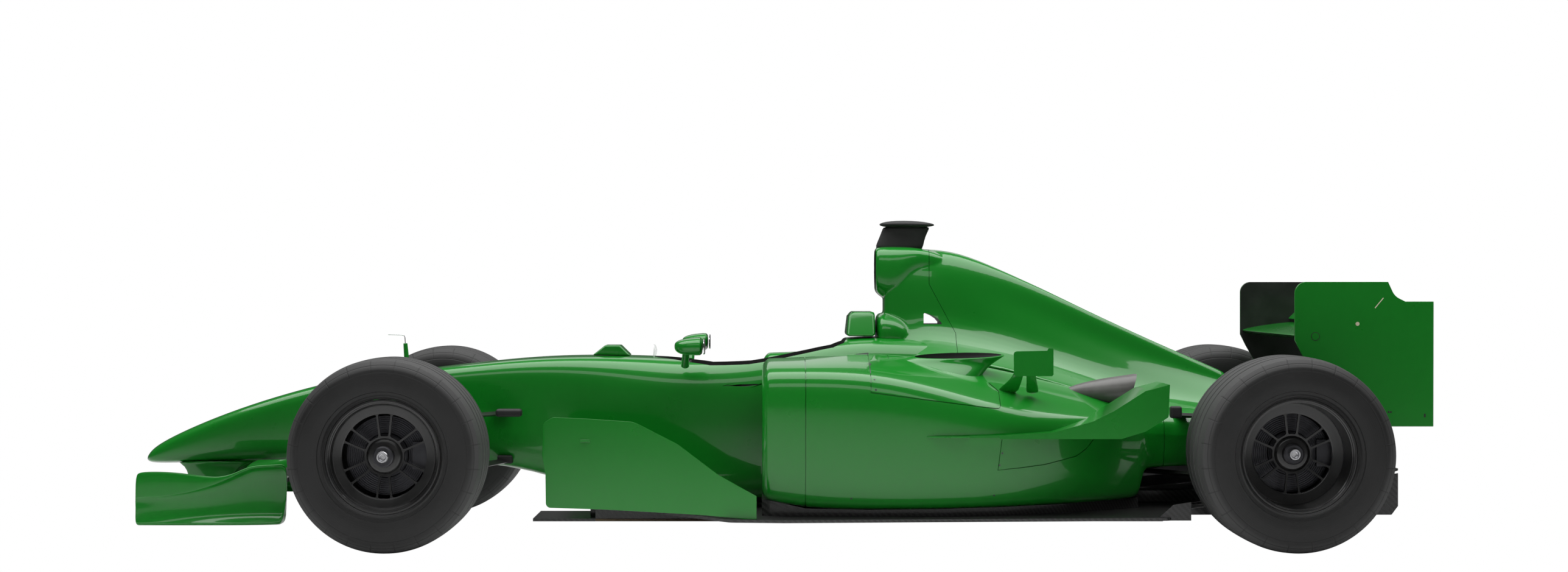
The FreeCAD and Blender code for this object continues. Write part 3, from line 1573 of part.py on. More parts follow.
def make_mirror():
    rings = []
    for along, size in mirror_ring_shares:
        ring = []
        for k in range(mirror_sides):
            turn = 2 * math.pi * k / mirror_sides
            ring.append(Vector(mirror_x - mirror_length * along,
                               -mirror_y + mirror_half_width * size * math.cos(turn),
                               mirror_z + mirror_half_height * size * math.sin(turn)))
        rings.append(ring)
    pod = skin(rings)
    share = (mirror_x - mirror_length / 2 - tub_front_x) / tub_length
    row = station(tub_station_shares, share)
    foot = Vector(mirror_x - mirror_length / 2, -tub_half_width * row[3] + tub_top_corner / 2,
                  tub_base_z + tub_height * row[2] - tub_top_corner / 4)
    head = Vector(mirror_x - mirror_length / 3, mirror_half_width / 3 - mirror_y,
                  mirror_z - mirror_half_height / 2)
    return fuse_all([pod, bar(foot, head, mirror_stem_radius, rod_sides)])


def make_mirror_glass():
    half = mirror_half_width * glass_width_share
    high = mirror_half_height * glass_height_share
    corner = high * glass_corner_share
    points = [(-mirror_y - half, mirror_z - high, corner), (half - mirror_y, mirror_z - high, corner),
              (half - mirror_y, mirror_z + high, corner), (-mirror_y - half, mirror_z + high, corner)]
    return block(points, on_yz(mirror_x + seat_gap), Vector(mirror_glass_thickness, 0, 0))


def make_seat():
    z = tub_base_z + tub_wall + seat_gap * 4
    side = plate_points(seat_side_shares, seat_x, seat_length, z, seat_height)
    body = block(side, on_xz(-seat_half_width), Vector(0, seat_half_width * 2, 0))
    inside = plate_points(seat_pocket_shares, seat_x, seat_length, z, seat_height)
    half = seat_half_width - seat_shell
    pocket = block(inside, on_xz(-half), Vector(0, half * 2, 0))
    pocket.translate(Vector(-seat_shell, 0, seat_shell))
    return body.cut(pocket)


def make_steering_wheel():
    half_w = steering_wheel_half_width
    half_h = steering_wheel_half_height
    t = steering_wheel_thickness
    corner = half_h * wheel_corner_share
    points = [(-half_w, -half_h, corner), (half_w, -half_h, corner),
              (half_w, half_h, corner), (-half_w, half_h, corner)]
    plate = block(points, on_yz(wheel_centre_x - t / 2), Vector(t, 0, 0))
    for side in (-1, 1):
        low_y = side * half_w * grip_place_share - half_w * grip_width_share
        high_y = low_y + half_w * grip_width_share * 2
        reach = half_h * grip_height_share
        corner = half_h * grip_corner_share
        hole = [(low_y, -reach, corner), (high_y, -reach, corner),
                (high_y, reach, corner), (low_y, reach, corner)]
        plate = plate.cut(block(hole, on_yz(wheel_centre_x - t), Vector(t * 2, 0, 0)))
    plate.translate(Vector(0, 0, wheel_centre_z))
    plate.rotate(Vector(wheel_centre_x, 0, wheel_centre_z), Vector(0, 1, 0), -column_tilt)
    column = rod(column_point(0), column_point(column_length), column_radius)
    return fuse_all([plate, column])


def make_windscreen():
    z = tub_base_z + tub_height * screen_base_share - overrun
    ring = []
    for inset in (0, screen_thickness):
        half = screen_half_width - inset
        bow = smooth_ring([Vector(screen_x + screen_bow, -half, z), Vector(screen_x + inset, 0, z),
                           Vector(screen_x + screen_bow, half, z)], 4)
        ring += bow if inset == 0 else list(reversed(bow))
    return flat_face(ring).extrude(Vector(0, 0, screen_height + overrun))


def make_bump():
    z = tub_base_z + tub_height * screen_base_share
    points = plate_points(bump_shares, bump_x, bump_length, z, bump_height)
    return prism(points, on_xz(-bump_half_width), Vector(0, bump_half_width * 2, 0))


def make_mast():
    share = (mast_x - tub_front_x) / tub_length
    base = tub_base_z + tub_height * station(tub_station_shares, share)[2]
    foot = Vector(mast_x, 0, base + seat_gap)
    head = Vector(mast_x, 0, base + mast_height)
    mast = blade(foot, head, mast_chord, mast_thickness)
    up = Vector(mast_x, 0, base + mast_height + pitot_height)
    front = Vector(mast_x - pitot_reach, 0, base + mast_height + pitot_height)
    post_bar = bar(head, up, pitot_radius, rod_sides)
    probe = bar(up + Vector(pitot_radius, 0, 0), front, pitot_radius, rod_sides)
    return fuse_all([mast, post_bar, probe])


os.makedirs("parts", exist_ok=True)

tub_form = make_tub_form()
monocoque = make_monocoque(tub_form)
roll_structure = make_roll_structure().cut(monocoque)
engine_cover = make_engine_cover().cut(panel_line_block()).cut(monocoque).cut(window_block())
mouth = pod_mouth()
pod_form = skin([pod_section(row, 0) for row in pod_section_shares + pod_tail_shares])
sidepod = pod_form.cut(mouth)
floor = make_floor()
wing_planes = make_rear_wing()
gearbox = trimmed(make_gearbox(), wing_planes[-1])
rear_upright = make_rear_upright()
front_wishbones = [trimmed(arm, tub_form) for arm in make_front_wishbones()]
rear_arms = make_rear_wishbones()
rear_carriers = both(pod_form) + both(rear_upright) + [gearbox]
rear_wishbones = [trimmed(arm, *rear_carriers) for arm in rear_arms]
push_carriers = [tub_form] + rear_carriers + front_wishbones + rear_wishbones
pushrods = [trimmed(arm, *push_carriers) for arm in make_pushrods()]

export("monocoque", monocoque)
export("nose_cone", make_nose_cone())
export("front_wing", *[plane.cut(make_nose_cone()) for plane in make_front_wing()])
export("front_wing_endplates", *both(make_front_endplate()))
export("scuttle_bump", make_bump().cut(tub_form))
export("windscreen", make_windscreen().cut(monocoque))
export("pitot_mast", make_mast().cut(tub_form))
export("bargeboards", *both(make_bargeboard().cut(tub_form).cut(floor)))
export("floor", floor)
export("plank", make_plank())
export("diffuser", make_diffuser())
export("sidepod_left", sidepod)
export("sidepod_right", mirrored(sidepod))
export("radiators", *both(make_radiator(mouth)))
export("chimneys", *both(make_chimney().cut(pod_form)))
export("winglets", *both(make_winglet().cut(pod_form)))
export("exhausts", *both(make_exhaust().cut(pod_form)))
export("flip_ups", *both(make_flip_up().cut(pod_form)))
export("roll_structure", roll_structure)
export("engine_cover", engine_cover)
export("headrest", make_headrest())
export("camera_pod", make_camera_pod())
export("mirrors", *both(make_mirror().cut(tub_form)))
export("mirror_glasses", *both(make_mirror_glass()))
export("seat", trimmed(make_seat(), monocoque))
export("steering_wheel", make_steering_wheel())
export("engine", make_engine())
export("gearbox", gearbox)
export("rain_light", make_rain_light())
export("rear_wing_endplates", *both(make_rear_endplate()))
export("rear_wing", *wing_planes)
export("front_wishbones", *front_wishbones)
export("rear_wishbones", *rear_wishbones)
export("pushrods", *pushrods)
export("rear_uprights", *both(rear_upright))
export("steering_rack", make_rack())
knuckle = make_knuckle()
export("knuckle_left", knuckle)
export("knuckle_right", mirrored(knuckle))
for axle in ("front", "rear"):
    tyre = make_tyre(axle == "front")
    rim = make_rim(axle == "front")
    hub, bore = make_hub(axle == "front")
    rim = rim.cut(bore)
    for kind, shape in (("tyre", tyre), ("rim", rim), ("hub", hub)):
        export(kind + "_" + axle + "_left", shape)
        export(kind + "_" + axle + "_right", mirrored(shape))
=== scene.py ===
import json
import math

import bmesh
import bpy
from mathutils import Matrix, Vector

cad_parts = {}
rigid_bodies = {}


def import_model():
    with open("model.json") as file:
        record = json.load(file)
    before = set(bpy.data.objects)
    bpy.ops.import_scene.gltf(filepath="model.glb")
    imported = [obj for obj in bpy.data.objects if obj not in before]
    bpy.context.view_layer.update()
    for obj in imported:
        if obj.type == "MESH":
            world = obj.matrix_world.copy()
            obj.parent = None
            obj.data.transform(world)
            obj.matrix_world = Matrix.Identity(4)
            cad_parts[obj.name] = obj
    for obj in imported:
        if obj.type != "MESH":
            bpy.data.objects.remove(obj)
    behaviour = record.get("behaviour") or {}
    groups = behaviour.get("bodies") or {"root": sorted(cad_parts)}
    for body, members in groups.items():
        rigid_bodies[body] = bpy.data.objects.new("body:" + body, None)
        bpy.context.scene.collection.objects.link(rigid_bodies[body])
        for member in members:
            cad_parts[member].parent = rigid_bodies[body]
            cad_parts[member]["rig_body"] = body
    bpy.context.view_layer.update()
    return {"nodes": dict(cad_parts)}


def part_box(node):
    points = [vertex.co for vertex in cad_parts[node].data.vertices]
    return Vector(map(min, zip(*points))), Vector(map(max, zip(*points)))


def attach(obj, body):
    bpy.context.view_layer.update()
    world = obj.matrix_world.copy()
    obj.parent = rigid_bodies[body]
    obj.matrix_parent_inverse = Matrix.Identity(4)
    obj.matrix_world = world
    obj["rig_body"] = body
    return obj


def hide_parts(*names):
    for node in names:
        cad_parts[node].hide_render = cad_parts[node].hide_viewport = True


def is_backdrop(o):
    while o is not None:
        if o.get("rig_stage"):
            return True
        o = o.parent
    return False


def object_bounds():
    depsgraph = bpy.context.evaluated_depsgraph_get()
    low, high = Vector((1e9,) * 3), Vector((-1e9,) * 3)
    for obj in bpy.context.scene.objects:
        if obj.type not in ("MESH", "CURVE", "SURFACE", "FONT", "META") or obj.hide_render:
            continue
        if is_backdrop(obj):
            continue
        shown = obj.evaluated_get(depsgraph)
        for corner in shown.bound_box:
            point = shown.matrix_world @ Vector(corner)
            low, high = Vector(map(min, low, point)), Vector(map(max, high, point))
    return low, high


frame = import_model()

# Open wheel racing car, nose towards -X and its left side towards -Y. Lengths are metres.

FULL_TURN = 2 * math.pi
UP = Vector((0, 0, 1))
MM = 0.001
MERGE_BELOW = 0.02 * MM


# Modelling helpers

def alone(obj):
    bpy.ops.object.select_all(action="DESELECT")
    bpy.context.view_layer.objects.active = obj
    obj.select_set(True)


def active():
    return bpy.context.view_layer.objects.active


def edit(obj):
    alone(obj)
    bpy.ops.object.mode_set(mode="EDIT")
    bpy.ops.mesh.select_all(action="SELECT")


def leave():
    bpy.ops.mesh.select_mode(type="VERT")
    bpy.ops.object.mode_set(mode="OBJECT")


def settle(obj):
    """Place, turn and size go into the mesh."""
    alone(obj)
    bpy.ops.object.transform_apply(location=True, rotation=True, scale=True)


def apply(obj, kind, **settings):
    """Adds a modifier with its settings and applies it."""
    alone(obj)
    modifier = obj.modifiers.new(kind.title(), kind)
    for key, value in settings.items():
        setattr(modifier, key, value)
    bpy.ops.object.modifier_apply(modifier=modifier.name)


def select_spots(obj, wanted):
    """In edit mode, selects just the vertices whose index is wanted."""
    bpy.ops.mesh.select_mode(type="VERT")
    mesh = bmesh.from_edit_mesh(obj.data)
    mesh.verts.ensure_lookup_table()
    for vertex in mesh.verts:
        vertex.select = vertex.index in wanted
    mesh.select_flush_mode()
    bmesh.update_edit_mesh(obj.data)


def select_faces(obj, test):
    """In edit mode, selects just the faces that pass the test."""
    bpy.ops.mesh.select_mode(type="FACE")
    mesh = bmesh.from_edit_mesh(obj.data)
    for face in mesh.faces:
        face.select = bool(test(face))
    mesh.select_flush_mode()
    bmesh.update_edit_mesh(obj.data)


def draw(name, points):
    """New object: a closed line drawn through the points by extruding one vertex."""
    bpy.ops.object.select_all(action="DESELECT")
    bpy.ops.mesh.primitive_plane_add(size=MM, location=points[0])
    obj = active()
    obj.name = name
    bpy.ops.object.mode_set(mode="EDIT")
    bpy.ops.mesh.merge(type="CENTER")
    for here, there in zip(points, points[1:]):
        bpy.ops.mesh.extrude_vertices_move(TRANSFORM_OT_translate={"value": there - here})
    select_spots(obj, {0, len(points) - 1})
    bpy.ops.mesh.edge_face_add()
    leave()
    settle(obj)
    return obj


def join(objs):
    alone(objs[0])
    for obj in objs:
        obj.select_set(True)
    bpy.ops.object.join()
    return objs[0]


def outwards(obj):
    edit(obj)
    bpy.ops.mesh.remove_doubles(threshold=MERGE_BELOW)
    bpy.ops.mesh.normals_make_consistent(inside=False)
    leave()


def loft(name, rings):
    """Skin through closed rings of points, each bridged to the next, with filled ends."""
    count = len(rings[0])
    obj = join([draw(name if i == 0 else "ring", ring) for i, ring in enumerate(rings)])
    edit(obj)
    for i in range(len(rings) - 1):
        select_spots(obj, set(range(i * count, (i + 2) * count)))
        bpy.ops.mesh.bridge_edge_loops()
    for first in (0, len(rings) - 1):
        select_spots(obj, set(range(first * count, (first + 1) * count)))
        bpy.ops.mesh.edge_face_add()
    leave()
    outwards(obj)
    return obj


def plate(name, points, push):
    """Flat outline filled and extruded along push."""
    obj = draw(name, points)
    edit(obj)
    bpy.ops.mesh.edge_face_add()
    bpy.ops.mesh.extrude_region_move(TRANSFORM_OT_translate={"value": push})
    leave()
    outwards(obj)
    return obj


def side_view(points, y):
    """Points that a side view gives as (x, z), at a place across the car."""
    return [Vector((x, y, z)) for x, z in points]


def board(name, points, low_y, high_y):
    """Outline from a side view, filled and extruded across the car."""
    return plate(name, side_view(points, low_y), Vector((0, high_y - low_y, 0)))


def turned(name, profile, centre, steps, outward):
    """Closed profile of (distance outwards, radius) points spun round the axle line through centre."""
    points = [centre + Vector((0, outward * a, r)) for a, r in profile]
    obj = draw(name, points)
    edit(obj)
    bpy.ops.mesh.spin(steps=steps, angle=FULL_TURN, center=centre, axis=(0, 1, 0))
    leave()
    outwards(obj)
    return obj


def bar(name, start, end, radius, sides, end_radius=None):
    """Round bar from start to end, tapered where the end radius differs."""
    way = end - start
    bpy.ops.object.select_all(action="DESELECT")
    bpy.ops.mesh.primitive_cone_add(vertices=sides, radius1=radius, depth=way.length,
                                    radius2=radius if end_radius is None else end_radius)
    obj = active()
    obj.name = name
    turn = way.to_track_quat("Z", "Y").to_matrix().to_4x4()
    obj.matrix_world = Matrix.Translation((start + end) / 2) @ turn
    settle(obj)
    return obj


def brick(name, low, high):
    bpy.ops.object.select_all(action="DESELECT")
    low, high = Vector(low), Vector(high)
    bpy.ops.mesh.primitive_cube_add(size=1, location=(low + high) / 2, scale=high - low)
    obj = active()
    obj.name = name
    settle(obj)
    return obj


def copied(obj, name):
    twin = obj.copy()
    twin.data = obj.data.copy()
    twin.name = name
    bpy.context.scene.collection.objects.link(twin)
    return twin


def across(obj, name):
    """Mirror image of obj on the other side of the car."""
    twin = copied(obj, name)
    alone(twin)
    twin.scale = (1, -1, 1)
    settle(twin)
    edit(twin)
    bpy.ops.mesh.normals_make_consistent(inside=False)
    leave()
    return twin


def both_sides(obj):
    """Joins obj with its mirror image."""
    return join([obj, across(obj, "far")])


def cut(obj, cutter, operation="DIFFERENCE", keep=False):
    apply(obj, "BOOLEAN", object=cutter, operation=operation, solver="EXACT")
    if not keep:
        bpy.data.objects.remove(cutter)
    return obj


def soften(obj, width, segments=2, angle=35.0):
    """Rounds the sharp edges and shades the rest smooth."""
    if width:
        apply(obj, "BEVEL", width=width, segments=segments, limit_method="ANGLE",
              angle_limit=math.radians(angle), use_clamp_overlap=True)
    alone(obj)
    bpy.ops.object.shade_smooth_by_angle(angle=math.radians(angle))
    if width:
        apply(obj, "WEIGHTED_NORMAL", weight=80, keep_sharp=True)
    return obj


def block(name, low, high, width):
    """Brick with rounded edges."""
    return soften(brick(name, low, high), width, 3)


def rounder(obj, levels):
    apply(obj, "SUBSURF", levels=levels, render_levels=levels)
    return obj


def squared(obj):
    """Inset the flat ends, so that they keep their outline when the piece is rounded."""
    edit(obj)
    select_faces(obj, lambda f: abs(f.normal.x) > 0.9 and f.calc_area() > 0.02)
    bpy.ops.mesh.inset(thickness=0.006)
    leave()
    return obj


def seam(obj, slabs, depth=5.0 * MM):
    """Panel gaps: each slab is cut into the piece, to a depth below its surface."""
    core = copied(obj, "core")
    apply(core, "DISPLACE", strength=-depth, mid_level=0.0)
    for slab in slabs:
        cut(obj, cut(slab, core, keep=True))
    bpy.data.objects.remove(core)
    return obj


def ribbon(points, low_y, high_y, width=2.6 * MM):
    """Thin standing wall along a line of (x, z) points, as a cutter for a panel gap."""
    line = side_view(points, low_y)
    back = []
    for i, point in enumerate(line):
        way = line[min(i + 1, len(line) - 1)] - line[max(i - 1, 0)]
        back.append(point + Vector((-way.z, 0, way.x)).normalized() * width)
    return plate("ribbon", line + back[::-1], Vector((0, high_y - low_y, 0)))


def studs(obj, name, spots, tone, radius=3.2 * MM):
    """Small flush fasteners on both sides of the car, where lines across it meet a piece."""
    made = []
    for x, z in spots:
        hit, place, normal, _ = obj.ray_cast((x, -2.0, z), (0, 1, 0))
        if hit:
            made.append(bar("stud", place - normal * 0.002, place + normal * 0.0006, radius, 12))
    pieces = both_sides(join(made))
    pieces.name = name
    finish(pieces, "chassis", tone, slot="duct_grey")


def merged(node):
    """Copy of a CAD node with merged corners and flat faces made whole."""
    source = frame["nodes"][node]
    obj = source.copy()
    obj.data = source.data.copy()
    obj.parent = None
    for key in list(obj.keys()):
        del obj[key]
    obj.name = node + "_finish"
    obj.data.materials.clear()
    bpy.context.scene.collection.objects.link(obj)
    edit(obj)
    bpy.ops.mesh.remove_doubles(threshold=MERGE_BELOW)
    bpy.ops.mesh.dissolve_limited(angle_limit=math.radians(0.5))
    bpy.ops.mesh.normals_make_consistent(inside=False)
    leave()
    return obj


def dressed(node, material, width):
    """Merged copy of a CAD node with rounded edges and smooth shading, shown in its place."""
    obj = soften(merged(node), width)
    return finish(obj, frame["nodes"][node]["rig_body"], material, node)


def melted(obj, cell, rounds):
    """Remakes a solid in small even cells and smooths them, so that its steps and joints blend."""
    apply(obj, "REMESH", mode="VOXEL", voxel_size=cell, use_smooth_shade=True)
    apply(obj, "SMOOTH", factor=0.5, iterations=rounds)
    alone(obj)
    bpy.ops.object.shade_smooth_by_angle(angle=math.radians(60))
    return obj


def two_tone(obj, *tones):
    """Materials of a piece whose cutters paint the walls that they leave."""
    obj.data.materials.clear()
    for tone in tones:
        obj.data.materials.append(tone)
    return obj


def painting(cutter, *tones):
    """A cutter that leaves walls in the second material."""
    two_tone(cutter, *tones)
    for face in cutter.data.polygons:
        face.material_index = 1
    return cutter


def finish(obj, body, material, *nodes, slot=None):
    """Gives a piece its material, its body and the CAD nodes that it stands for."""
    settle(obj)
    for extra in (material if isinstance(material, (list, tuple)) else [material]):
        if extra.name not in obj.data.materials:
            obj.data.materials.append(extra)
    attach(obj, body)
    if nodes:
        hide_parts(*nodes)
    return obj


def repaint(obj, index, test):
    """Faces that pass the test take the material with that index."""
    for face in obj.data.polygons:
        if test(face.center, face.normal):
            face.material_index = index


# Materials

class Shade:
    """A socket of a material's nodes that can be used in sums."""

    def __init__(self, tree, socket):
        self.tree = tree
        self.socket = socket

    def node(self, kind, settings=None, **inputs):
        """Adds a node, sets it up first and then its inputs, which are values or other sockets."""
        made = self.tree.nodes.new(kind)
        for key, value in (settings or {}).items():
            setattr(made, key, value)
        for key, value in inputs.items():
            place = int(key[1:]) if key[0] == "_" else key.replace("_", " ")
            if isinstance(value, Shade):
                self.tree.links.new(value.socket, made.inputs[place])
            else:
                made.inputs[place].default_value = value
        return made

    def out(self, kind, output, settings=None, **inputs):
        return Shade(self.tree, self.node(kind, settings, **inputs).outputs[output])

    def sum(self, operation, *values):
        inputs = {"_" + str(i): value for i, value in enumerate(values)}
        return self.out("ShaderNodeMath", 0, {"operation": operation}, **inputs)

    def do(self, operation):
        """This value after a sum that takes no other."""
        return self.sum(operation, self)

    def __add__(self, other):
        return self.sum("ADD", self, other)

    __radd__ = __add__

    def __sub__(self, other):
        return self.sum("SUBTRACT", self, other)

    def __rsub__(self, other):
        return self.sum("SUBTRACT", other, self)

    def __mul__(self, other):
        return self.sum("MULTIPLY", self, other)

    __rmul__ = __mul__

    def __truediv__(self, other):
        return self.sum("DIVIDE", self, other)

    def clamp(self):
        return self.sum("MINIMUM", self.sum("MAXIMUM", self, 0.0), 1.0)

    def above(self, edge, blur):
        """0 below the edge and 1 above it, over a blur."""
        return ((self - (edge - blur / 2)) / blur).clamp()

    def mix(self, low, high):
        """Colour from low to high, this value being the share of high."""
        made = self.node("ShaderNodeMix", {"data_type": "RGBA"})
        self.tree.links.new(self.socket, made.inputs[0])
        for place, value in ((6, low), (7, high)):
            if isinstance(value, Shade):
                self.tree.links.new(value.socket, made.inputs[place])
            else:
                made.inputs[place].default_value = value
        return Shade(self.tree, made.outputs[2])


def material(name, colour, roughness, metallic=0.0, coat=0.0, **fixed):
    """Principled material; returns it, its shader node and a start for its patterns."""
    made = bpy.data.materials.new(name)
    made.use_nodes = True
    tree = made.node_tree
    shader = tree.nodes["Principled BSDF"]
    shader.inputs["Base Color"].default_value = colour
    shader.inputs["Roughness"].default_value = roughness
    shader.inputs["Metallic"].default_value = metallic
    shader.inputs["Coat Weight"].default_value = coat
    for key, value in fixed.items():
        shader.inputs[key.replace("_", " ")].default_value = value
    coords = tree.nodes.new("ShaderNodeTexCoord")
    place = Shade(tree, coords.outputs["Object"])
    return made, shader, place


def feed(shader, name, value):
    value.tree.links.new(value.socket, shader.inputs[name])


def noise(place, scale, detail=3.0):
    return place.out("ShaderNodeTexNoise", 0, None, Vector=place, Scale=scale, Detail=detail, Roughness=0.5)


def axes(place):
    made = place.node("ShaderNodeSeparateXYZ", None, Vector=place)
    return [Shade(place.tree, made.outputs[i]) for i in range(3)]


def bumped(shader, height, strength, distance):
    bump = height.out("ShaderNodeBump", 0, None, Height=height, Strength=strength, Distance=distance)
    feed(shader, "Normal", bump)


def grey(value):
    return (value, value, value, 1.0)


def paint(name, colour, floor_reflection):
    """Gloss paint with faint unevenness under its clear coat, and a painted reflection of the floor that
    makes it lighter low down.
    """
    made, shader, place = material(name, colour, 0.30, coat=0.75, Coat_Roughness=0.05,
                                   Specular_IOR_Level=0.25)
    height = axes(place)[2]
    cloud = noise(place, 3.1)
    # painted reflection of the floor: the colour turns lighter towards the bottom, by the given strength
    low = 1 - height.above(0.16, 0.30)
    tone = (cloud * 0.12 + low * floor_reflection).clamp()
    reflected_tone = tuple(min(1.0, c * 1.35 + 0.012) for c in colour[:3]) + (1.0,)
    feed(shader, "Base Color", tone.mix(colour, reflected_tone))
    feed(shader, "Roughness", noise(place, 9.0) * 0.10 + 0.24 + low * 0.06)
    bumped(shader, noise(place, 160.0, 1.0), 0.012, 0.0004)
    return made


def carbon(name, gloss):
    """Woven carbon sheet: a two by two twill seen in its sheen."""
    made, shader, place = material(name, grey(0.012), 0.42, coat=gloss, Coat_Roughness=0.12)
    thread = 5.2 * MM
    x, y, z = axes(place)
    along = (x + y * 0.5) / thread
    over = (z + y * 0.87) / thread
    step = along.do("FLOOR") + over.do("FLOOR")
    twill = (step / 4.0).do("FRACT").above(0.49, 0.02)
    share_a = along.do("FRACT")
    share_b = over.do("FRACT")
    arch_a = share_a * (1 - share_a) * 4
    arch_b = share_b * (1 - share_b) * 4
    tone = twill.mix(grey(0.008), grey(0.040))
    feed(shader, "Base Color", (noise(place, 5.0) * 0.6).mix(tone, grey(0.018)))
    feed(shader, "Roughness", 0.30 + twill * 0.20)
    bumped(shader, arch_a * twill + arch_b * (1 - twill), 0.25, 0.0004)
    return made


def satin(name, colour, roughness, metallic=0.0, coat=0.0, wear=0.4):
    """Even satin surface with soft unevenness and brighter rubbed places."""
    made, shader, place = material(name, colour, roughness, metallic, coat)
    cloud = noise(place, 14.0, 4.0)
    rubbed = tuple(min(1.0, c * 1.8 + 0.01) for c in colour[:3]) + (1.0,)
    feed(shader, "Base Color", (cloud.above(0.55, 0.3) * wear).mix(colour, rubbed))
    feed(shader, "Roughness", roughness - 0.06 + cloud * 0.14)
    bumped(shader, noise(place, 420.0, 2.0), 0.08, 0.0004)
    return made


def stripe(value, middle, half):
    """1 on a thin line about a value, falling to 0 beside it."""
    return (1 - (value - middle).do("ABSOLUTE") / half).clamp()


def from_axle(place, centre):
    """Distances behind and above an axle, and the distance from it."""
    x, _, z = axes(place)
    dx = x - centre.x
    dz = z - centre.z
    return dx, dz, (dx * dx + dz * dz).do("SQRT")


def tyre_rubber(name, centre):
    """Rubber about an axle: dull sidewall, a tread painted lighter as a painted highlight for the light that
    falls on it, and fine rings.
    """
    made, shader, place = material(name, grey(0.020), 0.62)
    dx, dz, radius = from_axle(place, centre)
    tread = radius.above(0.298, 0.012)
    cloud = noise(place, 7.0, 5.0)
    turn = dz.sum("ARCTAN2", dz, dx) * (24 / FULL_TURN)
    tick = stripe(turn.do("FRACT"), 0.5, 0.035) * radius.above(centre.z * 0.86, 0.002)
    lines = stripe(radius, centre.z * 0.860, 0.0024) + stripe(radius, centre.z * 0.930, 0.0022)
    marks = (lines + tick * (1 - radius.above(centre.z * 0.985, 0.002))).clamp()
    # the tread is painted lighter: a painted highlight for the light that falls on it
    tone = (cloud * 0.2 + tread * 0.75).clamp() * (1 - marks * 0.8)
    feed(shader, "Base Color", tone.mix(grey(0.0065), grey(0.048)))
    feed(shader, "Roughness", 0.42 + cloud * 0.16 + tread * 0.14)
    wave = (radius * 900.0).do("SINE")
    grain = noise(place, 300.0, 3.0)
    bumped(shader, wave * 0.10 * (1 - tread) + grain * (0.4 + tread * 0.6) - marks * 2.2, 0.30, 0.0009)
    return made


def turned_metal(name, colour, roughness, centre, pitch=1400.0):
    """Turned metal: fine rings about the axle."""
    made, shader, place = material(name, colour, roughness, 1.0)
    radius = from_axle(place, centre)[2]
    feed(shader, "Roughness", roughness + noise(place, 40.0) * 0.15)
    bumped(shader, (radius * pitch).do("SINE"), 0.10, 0.0003)
    return made


GREEN = (0.004, 0.195, 0.012, 1.0)
# the last number sets how strong the painted floor reflection low down is
body_green = paint("body_green", GREEN, 0.35)
wing_green = paint("wing_green", GREEN, 0.15)
weave = carbon("carbon_weave", 0.35)
weave_gloss = carbon("carbon_gloss", 0.9)
satin_black = satin("satin_black", grey(0.010), 0.38, coat=0.2)
matt_black = satin("matt_black", grey(0.008), 0.60)
wheel_black = satin("wheel_black", grey(0.009), 0.30, coat=0.35)
cast_grey = satin("cast_grey", (0.24, 0.24, 0.25, 1.0), 0.42, 0.9)
dark_metal = satin("dark_metal", (0.05, 0.05, 0.055, 1.0), 0.36, 0.8)
duct_grey = satin("duct_grey", (0.105, 0.102, 0.098, 1.0), 0.36)
duct_cream = satin("duct_cream", (0.62, 0.55, 0.40, 1.0), 0.55)
plank_wood = satin("plank_wood", (0.10, 0.065, 0.035, 1.0), 0.65)
light_red = satin("light_red", (0.45, 0.01, 0.01, 1.0), 0.15, coat=1.0)
mirror_face = satin("mirror_face", (0.90, 0.90, 0.92, 1.0), 0.04, 1.0, wear=0.0)
silver = satin("silver", (0.66, 0.66, 0.68, 1.0), 0.22, 1.0)


def clear_screen():
    made, shader, place = material("clear_screen", (0.93, 0.96, 0.95, 1.0), 0.05)
    feed(shader, "Alpha", noise(place, 20.0) * 0.08 + 0.24)
    return made


screen_clear = clear_screen()


# Wheels: tyre, rim with six pairs of spokes, hub and brake, turned about the axle

TYRE_STEPS = 144
RIM_STEPS = 120
DISC_STEPS = 72
HUB_STEPS = 64
BELL_STEPS = 48
BEAD_RADIUS = 0.1940
SHOULDER = 0.034
CROWN_DROP = 0.0035
GROOVES = 4
GROOVE_WIDTH = 0.014
GROOVE_DEPTH = 0.0035
# first groove and the step to the next, as shares of the tyre's width
FIRST_GROOVE = 0.235
GROOVE_STEP = 0.177
SPOKE_PAIRS = 6
HALF_PITCH = math.pi / SPOKE_PAIRS
# a spoke's edges lie this far from the middle line of its pair at the axle, and spread outwards
SPOKE_INSIDE = 0.0048
SPOKE_OUTSIDE = 0.0114
SPOKE_SPREAD = 0.1145
WINDOW_START = 0.066
WINDOW_REACH = {"front": 0.1405, "rear": 0.134}
RIM_INSET = 0.018
# steps inwards along the axle from the hub's end, each from the one before
NUT_HEIGHT = 0.016
FACE_STEP = 0.026
COLLAR_STEP = 0.0145
DISC_STEP = 0.040
SHIELD_STEP = 0.050
DISC_RADIUS = 0.1320
DISC_WIDTH = 0.028
DISC_RINGS = 9


